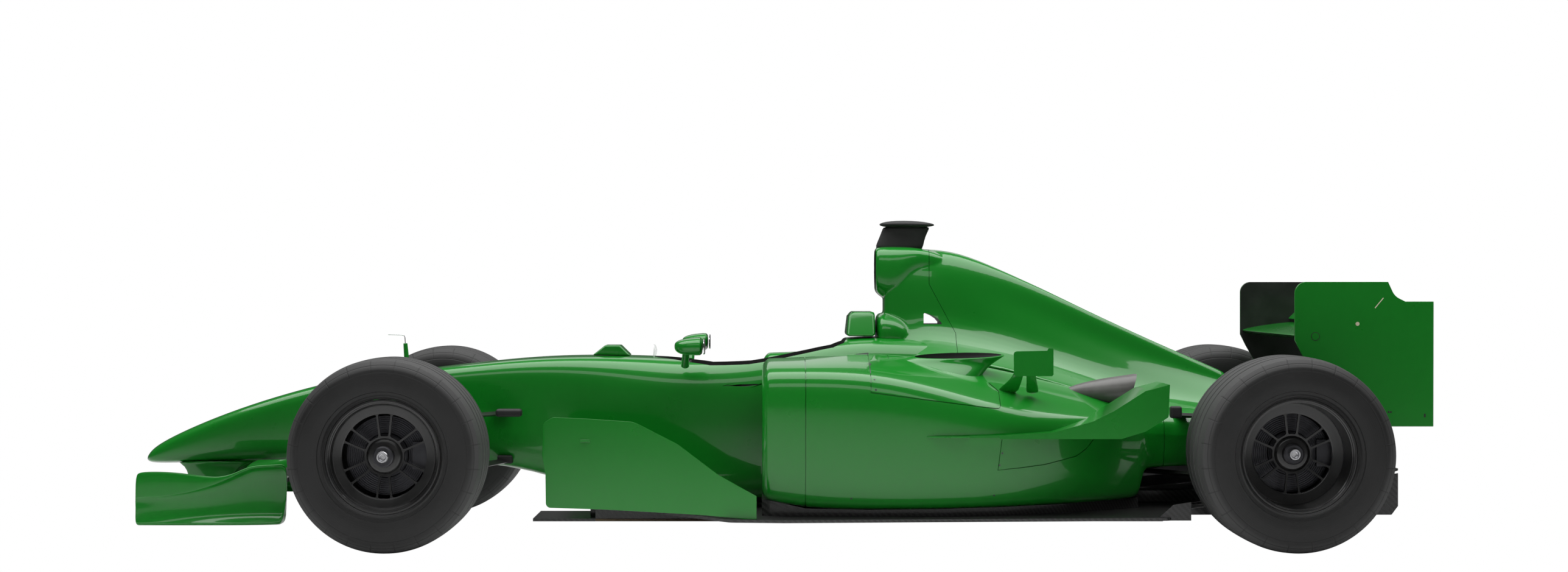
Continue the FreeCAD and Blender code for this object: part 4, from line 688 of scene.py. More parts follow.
def tyre_profile(inner, outer, radius):
    """Points (distance from the car's middle, radius) round the tyre's wall, with grooves in the tread."""
    bead = BEAD_RADIUS
    width = outer - inner
    middle = (outer + inner) / 2

    def crown(a):
        return radius - CROWN_DROP * (abs(a - middle) / (width / 2)) ** 2

    points = [(inner + 0.016, bead - 0.003), (inner + 0.006, bead + 0.006), (inner + 0.001, bead + 0.040),
              (inner, bead + 0.062), (inner + 0.004, bead + 0.090), (inner + 0.013, radius - SHOULDER * 0.62),
              (inner + 0.024, radius - SHOULDER * 0.26), (inner + 0.040, crown(inner + 0.040) - 0.0025)]
    for k in range(GROOVES):
        groove = inner + width * (FIRST_GROOVE + GROOVE_STEP * k)
        for a, drop in ((-0.5, 0), (-0.38, 1), (0.38, 1), (0.5, 0)):
            place = groove + a * GROOVE_WIDTH
            points.append((place, crown(place) - GROOVE_DEPTH * drop))
    points += [(outer - 0.040, crown(outer - 0.040) - 0.0025), (outer - 0.024, radius - SHOULDER * 0.26),
               (outer - 0.013, radius - SHOULDER * 0.62), (outer - 0.0065, radius - SHOULDER * 0.98),
               (outer - 0.0045, radius - SHOULDER * 1.08), (outer - 0.004, bead + 0.090),
               (outer, bead + 0.062), (outer - 0.001, bead + 0.040), (outer - 0.003, bead + 0.022),
               (outer - 0.0075, bead + 0.020), (outer - 0.009, bead + 0.010), (outer - 0.006, bead + 0.004),
               (outer - 0.016, bead - 0.003)]
    return points


def rim_profile(lip, back, face, reach):
    """The same for a rim: outer lip, barrel, inner lip, back of the spokes, hole for the hub and face."""
    return [
        (lip, 0.1840), (lip, 0.1895), (lip - 0.010, 0.1895), (lip - 0.016, 0.180), (back + 0.016, 0.180),
        (back + 0.010, 0.1862), (back, 0.1862), (back, 0.1775), (back + 0.012, 0.173), (face - 0.030, 0.171),
        (face - 0.020, reach + 0.014), (face - 0.020, 0.070), (face - 0.026, 0.040), (face - 0.026, 0.0225),
        (face - 0.0005, 0.0225), (face - 0.0005, 0.048), (face - 0.004, 0.054), (face - 0.011, 0.060),
        (face - 0.006, reach), (face - 0.003, reach + 0.004), (face - 0.001, 0.160),
        (face + 0.001, 0.1655), (face + 0.001, 0.1700), (lip - 0.014, 0.1755), (lip - 0.012, 0.1790),
        (lip - 0.008, 0.1800), (lip - 0.006, 0.1840)]


def hub_profile(end, nut, face, collar, shaft_end):
    """The same for a hub: hollow end, nut, collar behind the rim and axle."""
    disc = collar - DISC_STEP
    return [
        (nut - 0.004, 0.0), (nut - 0.004, 0.010), (end - 0.004, 0.011), (end, 0.013), (end, 0.0175),
        (end - 0.003, 0.0200), (nut, 0.0202), (nut, 0.030), (nut - 0.003, 0.0345), (face + 0.003, 0.0360),
        (face + 0.0003, 0.0330), (face + 0.0003, 0.0200), (collar - 0.014, 0.0200), (collar - 0.014, 0.026),
        (disc, 0.026), (disc, 0.020), (shaft_end, 0.020), (shaft_end, 0.0)]


def disc_profile(face):
    """The same for a brake disc with shallow rings in its face."""
    points = [(face, 0.060), (face, 0.072)]
    for k in range(DISC_RINGS):
        r = 0.0745 + 0.0064 * k
        points += [(face - 0.0035, r), (face - 0.0035, r + 0.0022), (face, r + 0.0024), (face, r + 0.0062)]
    back = face - DISC_WIDTH
    return points + [(face - 0.004, DISC_RADIUS), (back, DISC_RADIUS), (back, 0.060)]


def window(start, push, angle, between_spokes, reach):
    """Rounded prism for one opening of the wheel's face, inside a pair of spokes or beside it."""
    def half(r):
        if between_spokes:
            return math.asin((SPOKE_INSIDE + SPOKE_SPREAD * r) / r)
        return HALF_PITCH - math.asin((SPOKE_OUTSIDE + SPOKE_SPREAD * r) / r)

    spots = [(reach, half(reach) * k / 4) for k in range(-4, 5)]
    spots += [(WINDOW_START, half(WINDOW_START) * k / 2) for k in (2, 1, 0, -1, -2)]
    turn = Matrix.Rotation(-angle, 3, "Y")
    points = [start + turn @ Vector((r * math.cos(a), 0, r * math.sin(a))) for r, a in spots]
    prism = plate("window", points, push)
    apply(prism, "BEVEL", width=0.0065, segments=4, limit_method="ANGLE", angle_limit=math.radians(50))
    return prism


def build_wheel(axle, side):
    tyre_lo, tyre_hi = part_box("tyre_%s_%s" % (axle, side))
    hub_lo, hub_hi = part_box("hub_%s_%s" % (axle, side))
    outward = -1.0 if side == "left" else 1.0
    centre = Vector(((tyre_lo.x + tyre_hi.x) / 2, 0, (tyre_lo.z + tyre_hi.z) / 2))
    inner, outer = sorted((abs(tyre_lo.y), abs(tyre_hi.y)))
    shaft_end, hub_end = sorted((abs(hub_lo.y), abs(hub_hi.y)))
    nut = hub_end - NUT_HEIGHT
    face = nut - FACE_STEP
    collar = face - COLLAR_STEP
    disc_face = collar - DISC_STEP
    back = disc_face - SHIELD_STEP
    body = "wheel_%s_%s" % (axle, side)

    tyre = turned("%s_tyre" % body, tyre_profile(inner, outer, centre.z), centre, TYRE_STEPS, outward)
    soften(tyre, 0, angle=30.0)
    finish(tyre, body, rubber[axle], "tyre_%s_%s" % (axle, side))

    reach = WINDOW_REACH[axle]
    barrel = rim_profile(outer - RIM_INSET, inner + RIM_INSET, face, reach)
    rim = turned("%s_rim" % body, barrel, centre, RIM_STEPS, outward)
    behind = Vector((centre.x, outward * (face - 0.060), centre.z))
    through = Vector((0, outward * 0.120, 0))
    for k in range(2 * SPOKE_PAIRS):
        cut(rim, window(behind, through, HALF_PITCH * (k + 1), k % 2 == 0, reach))
    soften(rim, 1.6 * MM, 2, 32.0)
    finish(rim, body, wheel_black, "rim_%s_%s" % (axle, side))

    shaft = hub_profile(hub_end, nut, face, collar, shaft_end)
    hub = turned("%s_hub" % body, shaft, centre, HUB_STEPS, outward)
    soften(hub, 0, angle=28.0)
    finish(hub, body, [hub_metal[axle], dark_metal], "hub_%s_%s" % (axle, side))
    repaint(hub, 1, lambda c, n: math.hypot(c.x - centre.x, c.z - centre.z) > 0.0203 or abs(c.y) < face)

    disc = turned("%s_brake_disc" % body, disc_profile(disc_face), centre, DISC_STEPS, outward)
    soften(disc, 0, angle=25.0)
    finish(disc, body, disc_metal[axle], slot="hub_silver")
    bell = turned("%s_brake_bell" % body, [
        (disc_face + 0.006, 0.026), (disc_face + 0.006, 0.058), (disc_face - 0.004, 0.075),
        (disc_face - 0.010, 0.075), (disc_face - 0.010, 0.026)], centre, BELL_STEPS, outward)
    soften(bell, 1 * MM, 2, 30.0)
    finish(bell, body, dark_metal, slot="hub_silver")
    shield = turned("%s_%s_brake_shield" % (axle, side), [
        (back, 0.045), (back, 0.150), (back + 0.006, 0.156), (back + 0.018, 0.157), (back + 0.018, 0.154),
        (back + 0.008, 0.153), (back + 0.0035, 0.148), (back + 0.0035, 0.045)], centre, DISC_STEPS, outward)
    soften(shield, 0, angle=40.0)
    carrier = "knuckle_%s" % side if axle == "front" else "chassis"
    finish(shield, carrier, matt_black, slot="upright_metal")


rubber, hub_metal, disc_metal = {}, {}, {}
for axle in ("front", "rear"):
    lo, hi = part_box("tyre_%s_left" % axle)
    middle = (lo + hi) / 2
    rubber[axle] = tyre_rubber("tyre_rubber_" + axle, middle)
    hub_metal[axle] = turned_metal("hub_silver_" + axle, (0.70, 0.70, 0.72, 1.0), 0.18, middle)
    disc_metal[axle] = turned_metal("disc_carbon_" + axle, (0.055, 0.055, 0.060, 1.0), 0.34, middle, 700.0)
    for side in ("left", "right"):
        build_wheel(axle, side)


# Body shells

def shell_ring(x, low, high, half, upper, lower, middle_share=0.5, count=28):
    """Ring across the car: a rounded box whose corners follow a power, one above and one below its middle."""
    middle = low + (high - low) * middle_share
    ring = []
    for k in range(count):
        turn = FULL_TURN * (k + 0.5) / count
        power = 2 / (upper if math.sin(turn) > 0 else lower)
        y = math.copysign(abs(math.cos(turn)) ** power, math.cos(turn)) * half
        rise = (high - middle) if math.sin(turn) > 0 else (middle - low)
        z = middle + math.copysign(abs(math.sin(turn)) ** power, math.sin(turn)) * rise
        ring.append(Vector((x, y, z)))
    return ring


def shells(name, rows, upper, lower, middle_share=0.5, count=24):
    """Rounded form through rows of x, underside, top and half width."""
    rings = [shell_ring(x, low, high, half, upper, lower, middle_share, count) for x, low, high, half in rows]
    return rounder(loft(name, rings), 1)


# share of length, underside, top line and half width as shares, then corner powers above and below
NOSE_STATION_SHARES = [
    (0.0, 0.060, 0.070, 0.20, 2.2, 2.2),
    (0.003, 0.034, 0.100, 0.34, 2.4, 2.4),
    (0.024, 0.010, 0.170, 0.55, 2.6, 2.6),
    (0.071, 0.003, 0.250, 0.66, 3.6, 2.8),
    (0.174, 0.007, 0.375, 0.75, 4.8, 3.2),
    (0.370, 0.027, 0.571, 0.82, 6.0, 3.6),
    (0.633, 0.047, 0.785, 0.905, 7.0, 3.8),
    (0.90, 0.052, 0.955, 0.985, 7.5, 4.0),
    (0.996, 0.054, 1.0, 1.0, 7.5, 4.0),
    (1.0, 0.054, 1.0, 1.0, 7.5, 4.0),
]
TUB_STATION_SHARES = [
    (0.0, 0.256, 0.721, 0.61, 7.5, 4.0),
    (0.0013, 0.256, 0.721, 0.61, 7.5, 4.0),
    (0.06, 0.252, 0.758, 0.64, 7.5, 4.0),
    (0.139, 0.246, 0.799, 0.68, 7.5, 4.0),
    (0.265, 0.231, 0.852, 0.75, 7.5, 4.0),
    (0.344, 0.168, 0.877, 0.80, 7.0, 4.0),
    (0.427, 0.060, 0.884, 0.86, 6.5, 4.0),
    (0.518, 0.0, 0.879, 0.935, 5.0, 4.2),
    (0.584, 0.0, 0.862, 0.97, 5.0, 4.6),
    (0.68, 0.0, 0.882, 1.0, 5.0, 5.0),
    (0.739, 0.0, 0.932, 1.0, 5.0, 5.0),
    (0.828, 0.0, 1.0, 1.0, 5.0, 5.0),
    (0.911, 0.0, 0.997, 0.98, 5.0, 5.0),
    (1.0, 0.0, 0.973, 0.92, 5.0, 5.0),
]
NOSE_HALF = 0.160
NOSE_LOW = 0.242
NOSE_RISE = 0.296
# share of height, reach ahead and behind, half thickness
PYLON_LEVELS = [(0.0, 0.0, 0.0, 0.0065), (0.55, 0.0, 0.0, 0.0065), (0.80, 0.010, 0.026, 0.009),
                (0.93, 0.028, 0.060, 0.016), (1.02, 0.060, 0.110, 0.030)]
PYLON_START = 0.164
PYLON_CHORD = 0.146
PYLON_Y = -0.092
PYLON_SIDES = 16


def build_nose():
    """Nose cone with the two pylons that hold the front wing."""
    lo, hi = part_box("nose_cone")
    rings = []
    for share, low, high, half, upper, lower in NOSE_STATION_SHARES:
        rings.append(shell_ring(lo.x + (hi.x - lo.x) * share, NOSE_LOW + NOSE_RISE * low,
                                NOSE_LOW + NOSE_RISE * high, NOSE_HALF * half, upper, lower, 0.42))
    nose = rounder(squared(loft("nose_shell", rings)), 2)
    turns = [FULL_TURN * k / PYLON_SIDES for k in range(PYLON_SIDES)]
    rings = []
    for share, before, after, half in PYLON_LEVELS:
        z = lo.z + (NOSE_LOW + 0.012 - lo.z) * share
        middle = lo.x + PYLON_START + PYLON_CHORD / 2 + (after - before) / 2
        reach = (PYLON_CHORD + before + after) / 2
        rings.append([Vector((middle + math.cos(turn) * reach, PYLON_Y + math.sin(turn) * half, z))
                      for turn in turns])
    pylons = both_sides(rounder(loft("pylons", rings), 1))
    cut(nose, pylons, "UNION")
    soften(nose, 0, angle=60.0)
    finish(nose, "chassis", body_green, "nose_cone")


TUB_WALL = 0.024
COCKPIT_FRONT = -0.435
COCKPIT_BACK = 0.262
COCKPIT_HALF = 0.218
# share of the cockpit's length, share of its half width
COCKPIT_EDGE = [(0.0, 0.0), (0.006, 0.20), (0.035, 0.42), (0.09, 0.60), (0.17, 0.80), (0.30, 0.95),
                (0.5, 1.0), (0.8, 0.985), (0.93, 0.96), (0.985, 0.86), (1.0, 0.60), (1.0, 0.0)]
SIDE_SLOT = [(-0.175, 0.533), (-0.12, 0.538), (-0.060, 0.5395), (-0.045, 0.537), (-0.10, 0.531)]


def build_tub():
    """Tub with its hollow inside, the cockpit's mouth and a slot through both sides."""
    lo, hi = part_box("monocoque")
    length, height, half_width = hi.x - lo.x, hi.z - lo.z, (hi.y - lo.y) / 2
    rings, hollow = [], []
    for share, low, high, half, upper, lower in TUB_STATION_SHARES:
        x = lo.x + length * share
        bottom, top, side = lo.z + height * low, lo.z + height * high, half_width * half
        rings.append(shell_ring(x, bottom, top, side, upper, lower))
        if 0.02 < share < 0.9:
            hollow.append(shell_ring(x, bottom + TUB_WALL, top - TUB_WALL, side - TUB_WALL, upper, lower))
    tub = rounder(squared(loft("tub_shell", rings)), 2)
    cavity = rounder(loft("tub_hollow", hollow), 1)
    edge = [(COCKPIT_FRONT + (COCKPIT_BACK - COCKPIT_FRONT) * a, COCKPIT_HALF * b) for a, b in COCKPIT_EDGE]
    near = [Vector((x, -y, lo.z + height * 0.62)) for x, y in edge]
    far = [Vector((p.x, -p.y, p.z)) for p in reversed(near[1:-1])]
    mouth = plate("mouth", near + far, UP * height * 0.5)
    tones = (body_green, matt_black, weave)
    two_tone(tub, *tones)
    cut(tub, painting(cavity, *tones))
    cut(tub, painting(mouth, *tones))
    cut(tub, painting(board("slot", SIDE_SLOT, -0.30, 0.30), *tones))
    soften(tub, 4 * MM, 3, 40.0)
    finish(tub, "chassis", tones, "monocoque")
    repaint(tub, 2, lambda c, n: n.z < -0.6 and c.z < lo.z + 0.03)


# share of length, tuck, underside, width, top and shoulder as shares
POD_SECTION_SHARES = [
    (0.0, 0.0, 0.118, 0.905, 0.930, 0.905),
    (0.02, 0.0, 0.110, 0.920, 0.940, 0.915),
    (0.115, 0.0, 0.060, 0.950, 0.945, 0.920),
    (0.28, 0.0, 0.055, 0.985, 0.985, 0.915),
    (0.455, 0.03, 0.060, 0.990, 0.960, 0.820),
    (0.62, 0.12, 0.070, 0.960, 0.905, 0.695),
    (0.78, 0.28, 0.078, 0.850, 0.800, 0.638),
    (0.90, 0.45, 0.085, 0.700, 0.720, 0.605),
    (0.985, 0.58, 0.091, 0.570, 0.657, 0.583),
    (1.0, 0.60, 0.110, 0.550, 0.650, 0.580),
    (1.012, 0.62, 0.275, 0.532, 0.645, 0.574),
    (1.03, 0.63, 0.290, 0.515, 0.642, 0.571),
    (1.12, 0.72, 0.290, 0.430, 0.625, 0.550),
    (1.25, 0.85, 0.300, 0.335, 0.600, 0.520),
]
POD_FRONT = -0.040
POD_LENGTH = 1.325
POD_BASE = 0.120
POD_HEIGHT = 0.535
POD_HALF_WIDTH = 0.692
POD_INNER = 0.266
POD_INNER_TUCKED = 0.150
# panel gaps and fasteners as a side view gives them
SHELF_GAP = [(0.3295, 0.5266), (0.754, 0.471), (0.767, 0.4715), (0.773, 0.480), (0.775, 0.5266),
             (0.745, 0.553)]
RECESS_GAP = [(0.7727, 0.368), (0.760, 0.263), (0.846, 0.270), (0.9276, 0.279), (1.039, 0.304),
              (1.0763, 0.3286), (1.107, 0.364)]
POD_STUDS = [(0.4107, 0.650), (0.3423, 0.571), (0.3465, 0.537), (0.2646, 0.1661), (0.7498, 0.1764),
             (0.7753, 0.3215), (0.7668, 0.2806)]


def pod_inner(row):
    return POD_INNER - (POD_INNER - POD_INNER_TUCKED) * row[1]


def pod_top(row):
    return POD_BASE + POD_HEIGHT * row[4] * 1.04


def between(rows, share):
    """Row of the table at a share of the length."""
    for first, last in zip(rows, rows[1:]):
        if share <= last[0]:
            blend = (share - first[0]) / (last[0] - first[0])
            return tuple(a + (b - a) * blend for a, b in zip(first, last))
    return rows[-1]


def pod_ring(row, inset):
    """Section of the left sidepod, from its inner top edge over the shoulder and round the bottom."""
    x = POD_FRONT + POD_LENGTH * row[0]
    inner = pod_inner(row) + inset
    outer = POD_HALF_WIDTH * row[3] - inset
    low = POD_BASE + POD_HEIGHT * (row[2] - 0.05) + inset
    top = pod_top(row) - inset
    shoulder = POD_BASE + POD_HEIGHT * row[5] - inset
    waist = low + (shoulder - low) * 0.35
    spots = [(inner, top), (inner + (outer - inner) * 0.30, top * 0.7 + shoulder * 0.3),
             (inner + (outer - inner) * 0.62, top * 0.35 + shoulder * 0.65),
             (inner + (outer - inner) * 0.85, shoulder * 0.99), (outer * 0.975, shoulder * 0.955),
             (outer * 0.998, shoulder * 0.87), (outer, (shoulder + waist) / 2), (outer * 0.985, waist),
             (outer * 0.95, low + (waist - low) * 0.4), (outer * 0.92, low), (outer * 0.80, low),
             ((inner + outer) / 2, low), (inner, low), (inner, (low + top) / 2)]
    return [Vector((x, -a, b)) for a, b in spots]


def build_pods():
    """Sidepods with a rounded lip, an open duct behind it, panel gaps and fasteners."""
    rows = POD_SECTION_SHARES
    tones = (body_green, matt_black)
    lips = [pod_ring(rows[0], 0.024), pod_ring((0.0045,) + rows[0][1:], 0.010),
            pod_ring((0.014,) + rows[1][1:], 0.002)]
    pod = two_tone(loft("sidepod_shell_left", lips + [pod_ring(row, 0.0) for row in rows[1:]]), *tones)
    rounder(squared(pod), 2)
    depth = [(-0.03,) + rows[0][1:], rows[1], rows[2], (0.25,) + rows[3][1:]]
    duct = [pod_ring(row, 0.026 if i == 0 else 0.020) for i, row in enumerate(depth)]
    cut(pod, painting(rounder(loft("pod_mouth", duct), 1), *tones))
    seam(pod, [brick("slab", (0.108, -0.71, 0.10), (0.1108, -0.20, 0.72)),
               brick("slab", (0.3287, -0.71, 0.526), (0.3315, -0.20, 0.72)),
               brick("slab", (0.399, -0.42, 0.60), (0.4017, -0.20, 0.72)),
               brick("slab", (1.374, -0.45, 0.23), (1.3767, -0.14, 0.50)),
               ribbon(SHELF_GAP, -0.71, -0.45), ribbon(RECESS_GAP, -0.71, -0.40)])
    soften(pod, 3 * MM, 3, 40.0)
    studs(pod, "pod_studs", POD_STUDS, dark_metal)
    finish(pod, "chassis", tones, "sidepod_left")
    finish(across(pod, "sidepod_shell_right"), "chassis", tones, "sidepod_right")


# share of length, then top, half width of the neck and half width of the crown as shares
COVER_STATION_SHARES = [
    (0.0, 1.0, 0.50, 0.47),
    (0.10, 0.985, 0.46, 0.40),
    (0.235, 0.877, 0.40, 0.23),
    (0.30, 0.821, 0.38, 0.19),
    (0.392, 0.742, 0.36, 0.15),
    (0.53, 0.613, 0.35, 0.115),
    (0.672, 0.488, 0.36, 0.10),
    (0.796, 0.381, 0.38, 0.10),
    (0.951, 0.252, 0.44, 0.115),
    (1.0, 0.215, 0.46, 0.12),
]
COVER_FRONT = 0.560
COVER_LENGTH = 1.110
COVER_HALF = 0.234
COVER_LOW = 0.440
COVER_RISE = 0.585


def upper_ring(x, low, foot, neck, crown, top):
    """Section that stands on a wide foot, draws in to a neck and closes over a crown."""
    rise = top - low
    side = [(foot, low), (foot * 0.93, low + rise * 0.05), ((foot + neck) * 0.45, low + rise * 0.15),
            (neck, low + rise * 0.30), ((neck + crown) / 2, low + rise * 0.52), (crown, low + rise * 0.72),
            (crown * 0.86, low + rise * 0.88), (crown * 0.50, low + rise * 0.975)]
    spots = [(-a, b) for a, b in side] + [(0, top)] + list(reversed(side))
    return [Vector((x, a, b)) for a, b in spots]


def cover_ring(row):
    """Section of the engine cover, with its foot beside the sidepods."""
    share, top_share, neck_share, crown_share = row
    x = COVER_FRONT + COVER_LENGTH * share
    beside = between(POD_SECTION_SHARES, (x - POD_FRONT) / POD_LENGTH)
    return upper_ring(x, pod_top(beside) - 0.034, pod_inner(beside) + 0.038, COVER_HALF * neck_share,
                      COVER_HALF * crown_share, COVER_LOW + COVER_RISE * top_share)


# x, underside, half width at the foot, neck and crown, top
NECK_ROWS = [
    (0.399, 0.630, 0.080, 0.060, 0.070, 0.985),
    (0.406, 0.628, 0.130, 0.082, 0.088, 1.005),
    (0.430, 0.624, 0.180, 0.096, 0.098, 1.020),
    (0.490, 0.618, 0.240, 0.108, 0.106, 1.026),
]
# x, underside, top, half width
AIRBOX_ROWS = [
    (0.3675, 0.874, 1.018, 0.086), (0.372, 0.864, 1.0265, 0.093), (0.385, 0.851, 1.0295, 0.097),
    (0.402, 0.840, 1.0305, 0.101), (0.425, 0.840, 1.031, 0.105), (0.445, 0.846, 1.031, 0.106),
    (0.464, 0.860, 1.0305, 0.1065), (0.480, 0.884, 1.030, 0.106), (0.510, 0.925, 1.028, 0.104),
    (0.560, 0.935, 1.021, 0.098), (0.610, 0.935, 1.004, 0.082), (0.640, 0.935, 0.985, 0.060),
]
FAIRING_ROWS = [
    (0.3675, 0.680, 0.791, 0.149), (0.400, 0.680, 0.790, 0.149), (0.430, 0.680, 0.786, 0.147),
    (0.462, 0.680, 0.774, 0.142), (0.486, 0.680, 0.750, 0.132), (0.502, 0.680, 0.715, 0.118),
]
INLET_ROWS = [
    (0.33, 0.876, 1.019, 0.084), (0.372, 0.874, 1.0195, 0.0845), (0.42, 0.872, 1.0155, 0.083),
    (0.540, 0.874, 1.000, 0.076),
]
# side views: the neck's window and the joint line between roll structure and cover
NECK_WINDOW = [(0.541, 0.749), (0.606, 0.749), (0.6055, 0.755), (0.594, 0.768), (0.577, 0.779),
               (0.558, 0.787), (0.546, 0.790), (0.5415, 0.787)]
JOINT_LINE = [(0.5625, 1.10), (0.5605, 0.895), (0.655, 0.718), (0.657, 0.40)]


def ahead_of_joint(gap):
    """Cutter that holds all that is ahead of the joint line, with the line moved back by gap."""
    line = [(x + gap, z) for x, z in JOINT_LINE]
    return board("front_of_joint", line + [(0.30, 0.40), (0.30, 1.10)], -0.3, 0.3)


def build_cover():
    """Airbox, neck and engine cover in one form, parted at the joint line."""
    covered = [cover_ring(row) for row in COVER_STATION_SHARES]
    shell = rounder(loft("engine_cover_shell", [upper_ring(*row) for row in NECK_ROWS] + covered), 2)
    airbox = shells("airbox", AIRBOX_ROWS, 3.6, 3.0)
    fairing = shells("fairing", FAIRING_ROWS, 3.0, 6.0, 0.3)
    cut(shell, airbox, "UNION")
    cut(shell, fairing, "UNION")
    melted(shell, 4.2 * MM, 9)
    hoop = copied(shell, "roll_structure_shell")
    cut(hoop, brick("ahead", (0.30, -0.3, 0.60), (0.72, 0.3, 1.10)), "INTERSECT")
    tones = (body_green, matt_black)
    two_tone(hoop, *tones)
    cut(hoop, painting(shells("inlet", INLET_ROWS, 3.6, 3.4), *tones))
    cut(hoop, board("window", NECK_WINDOW, -0.3, 0.3))
    cut(hoop, ahead_of_joint(0.0), "INTERSECT")
    soften(hoop, 0, angle=50.0)
    finish(hoop, "chassis", tones, "roll_structure")
    cut(shell, ahead_of_joint(1.6 * MM))
    soften(shell, 1.2 * MM, 2, 50.0)
    finish(shell, "chassis", body_green, "engine_cover")


# Smaller pieces on the body

def leaf(x0, x1, z, y, half, tilt=0.0, lean=0.0, count=20):
    """Pointed ring in plan view, raised towards its rear by tilt and towards +Y by lean."""
    ring = []
    for k in range(count):
        turn = FULL_TURN * (k + 0.5) / count
        share = (1 - math.cos(turn)) / 2
        ring.append(Vector((x0 + (x1 - x0) * share, y + half * math.sin(turn),
                            z + tilt * share + lean * math.sin(turn))))
    return ring


# front, rear, height, y, half width, tilt, lean
CHIMNEY_ROWS = [
    (0.345, 0.700, 0.515, -0.435, 0.105, 0.0, 0.0),
    (0.358, 0.712, 0.552, -0.426, 0.088, 0.0, 0.0),
    (0.378, 0.738, 0.592, -0.412, 0.068, 0.0, 0.0),
    (0.404, 0.768, 0.618, -0.400, 0.052, 0.0, 0.002),
    (0.446, 0.794, 0.632, -0.400, 0.048, 0.002, 0.006),
    (0.482, 0.8105, 0.6410, -0.400, 0.046, 0.006, 0.010),
    (0.484, 0.812, 0.6420, -0.400, 0.045, 0.006, 0.010),
]
CHIMNEY_BORE_ROWS = [
    (0.470, 0.720, 0.600, -0.400, 0.030),
    (0.480, 0.770, 0.625, -0.400, 0.038),
    (0.494, 0.803, 0.645, -0.400, 0.0425),
    (0.496, 0.806, 0.670, -0.400, 0.0425),
]


def build_chimneys():
    tones = (body_green, matt_black)
    body = two_tone(rounder(loft("chimney_shells", [leaf(*row) for row in CHIMNEY_ROWS]), 2), *tones)
    hollow = rounder(loft("hollow", [leaf(*row) for row in CHIMNEY_BORE_ROWS]), 1)
    cut(body, painting(hollow, *tones))
    soften(body, 0, angle=50.0)
    finish(both_sides(body), "chassis", tones, "chimneys")


# x, z, radius, slant
EXHAUST_ROWS = [
    (1.030, 0.510, 0.012, 0.0), (1.044, 0.511, 0.021, 0.0), (1.090, 0.513, 0.034, 0.0),
    (1.150, 0.516, 0.045, 0.1), (1.215, 0.520, 0.052, 0.25), (1.262, 0.525, 0.0545, 0.35),
    (1.266, 0.5255, 0.0545, 0.36),
]
EXHAUST_BORE_ROWS = [
    (1.100, 0.513, 0.028, 0.0), (1.200, 0.519, 0.046, 0.2), (1.266, 0.5255, 0.051, 0.36),
    (1.320, 0.530, 0.053, 0.4),
]
EXHAUST_Y = -0.300
EXHAUST_SIDES = 20


def tube_ring(x, z, radius, slant):
    """Round ring across the car, leaned along it by slant."""
    ring = []
    for k in range(EXHAUST_SIDES):
        turn = FULL_TURN * (k + 0.5) / EXHAUST_SIDES
        rise = radius * math.sin(turn)
        ring.append(Vector((x + rise * slant, EXHAUST_Y + radius * math.cos(turn), z + rise)))
    return ring


def build_exhausts():
    tones = (duct_grey, duct_cream)
    tube = rounder(loft("exhaust_tubes", [tube_ring(*row) for row in EXHAUST_ROWS]), 1)
    two_tone(tube, *tones)
    cut(tube, painting(loft("bore", [tube_ring(*row) for row in EXHAUST_BORE_ROWS]), *tones))
    soften(tube, 0, angle=40.0)
    finish(both_sides(tube), "chassis", tones, "exhausts")


WINGLET_EDGE = [(0.829, 0.579), (0.824, 0.585), (0.823, 0.655), (0.826, 0.6615), (0.833, 0.6640),
                (0.938, 0.6660), (0.942, 0.6735), (0.956, 0.6740), (0.959, 0.6705), (0.959, 0.584),
                (0.954, 0.579)]
# height, y and half width of both stalks, and the front and rear of each stalk at those heights
STALK_LEVELS = [(0.515, -0.500, 0.012), (0.542, -0.522, 0.010), (0.567, -0.544, 0.007),
                (0.590, -0.5585, 0.005), (0.602, -0.5600, 0.004)]
FRONT_STALK = [(0.756, 0.842), (0.784, 0.848), (0.812, 0.854), (0.824, 0.858), (0.826, 0.858)]
REAR_STALK = [(0.868, 0.918), (0.870, 0.910), (0.868, 0.902), (0.866, 0.898), (0.864, 0.896)]


def build_winglets():
    """Upright boards outside the chimneys, each on two stalks."""
    panel = board("winglet_boards", WINGLET_EDGE, -0.563, -0.557)
    for spans in (FRONT_STALK, REAR_STALK):
        stalk = [leaf(*span, *level) for span, level in zip(spans, STALK_LEVELS)]
        cut(panel, rounder(loft("stalk", stalk), 1), "UNION")
    soften(panel, 1.2 * MM, 2, 40.0)
    finish(both_sides(panel), "chassis", body_green, "winglets")


def build_mast():
    foot, top = Vector((-1.3375, 0, 0.570)), Vector((-1.3460, 0, 0.6780))
    mast = bar("pitot_mast_post", foot, top, 0.0105, 20, 0.0075)
    soften(mast, 2 * MM, 3)
    finish(mast, "chassis", body_green, "pitot_mast")
    spots = side_view([(-1.3460, 0.676), (-1.3480, 0.700), (-1.3510, 0.7062), (-1.3570, 0.7085),
                       (-1.4090, 0.7095)], 0)
    wire = join([bar("pitot_wire", here, there, 0.0016, 10) for here, there in zip(spots, spots[1:])])
    soften(wire, 0)
    finish(wire, "chassis", silver, slot="cast_grey")


MIRROR_Y = -0.352
# x, middle height, half height, half width
MIRROR_ROWS = [
    (-0.3475, 0.676, 0.006, 0.020), (-0.344, 0.675, 0.016, 0.045), (-0.328, 0.674, 0.026, 0.066),
    (-0.300, 0.675, 0.0305, 0.076), (-0.265, 0.676, 0.0325, 0.080), (-0.2475, 0.676, 0.0325, 0.080),
]


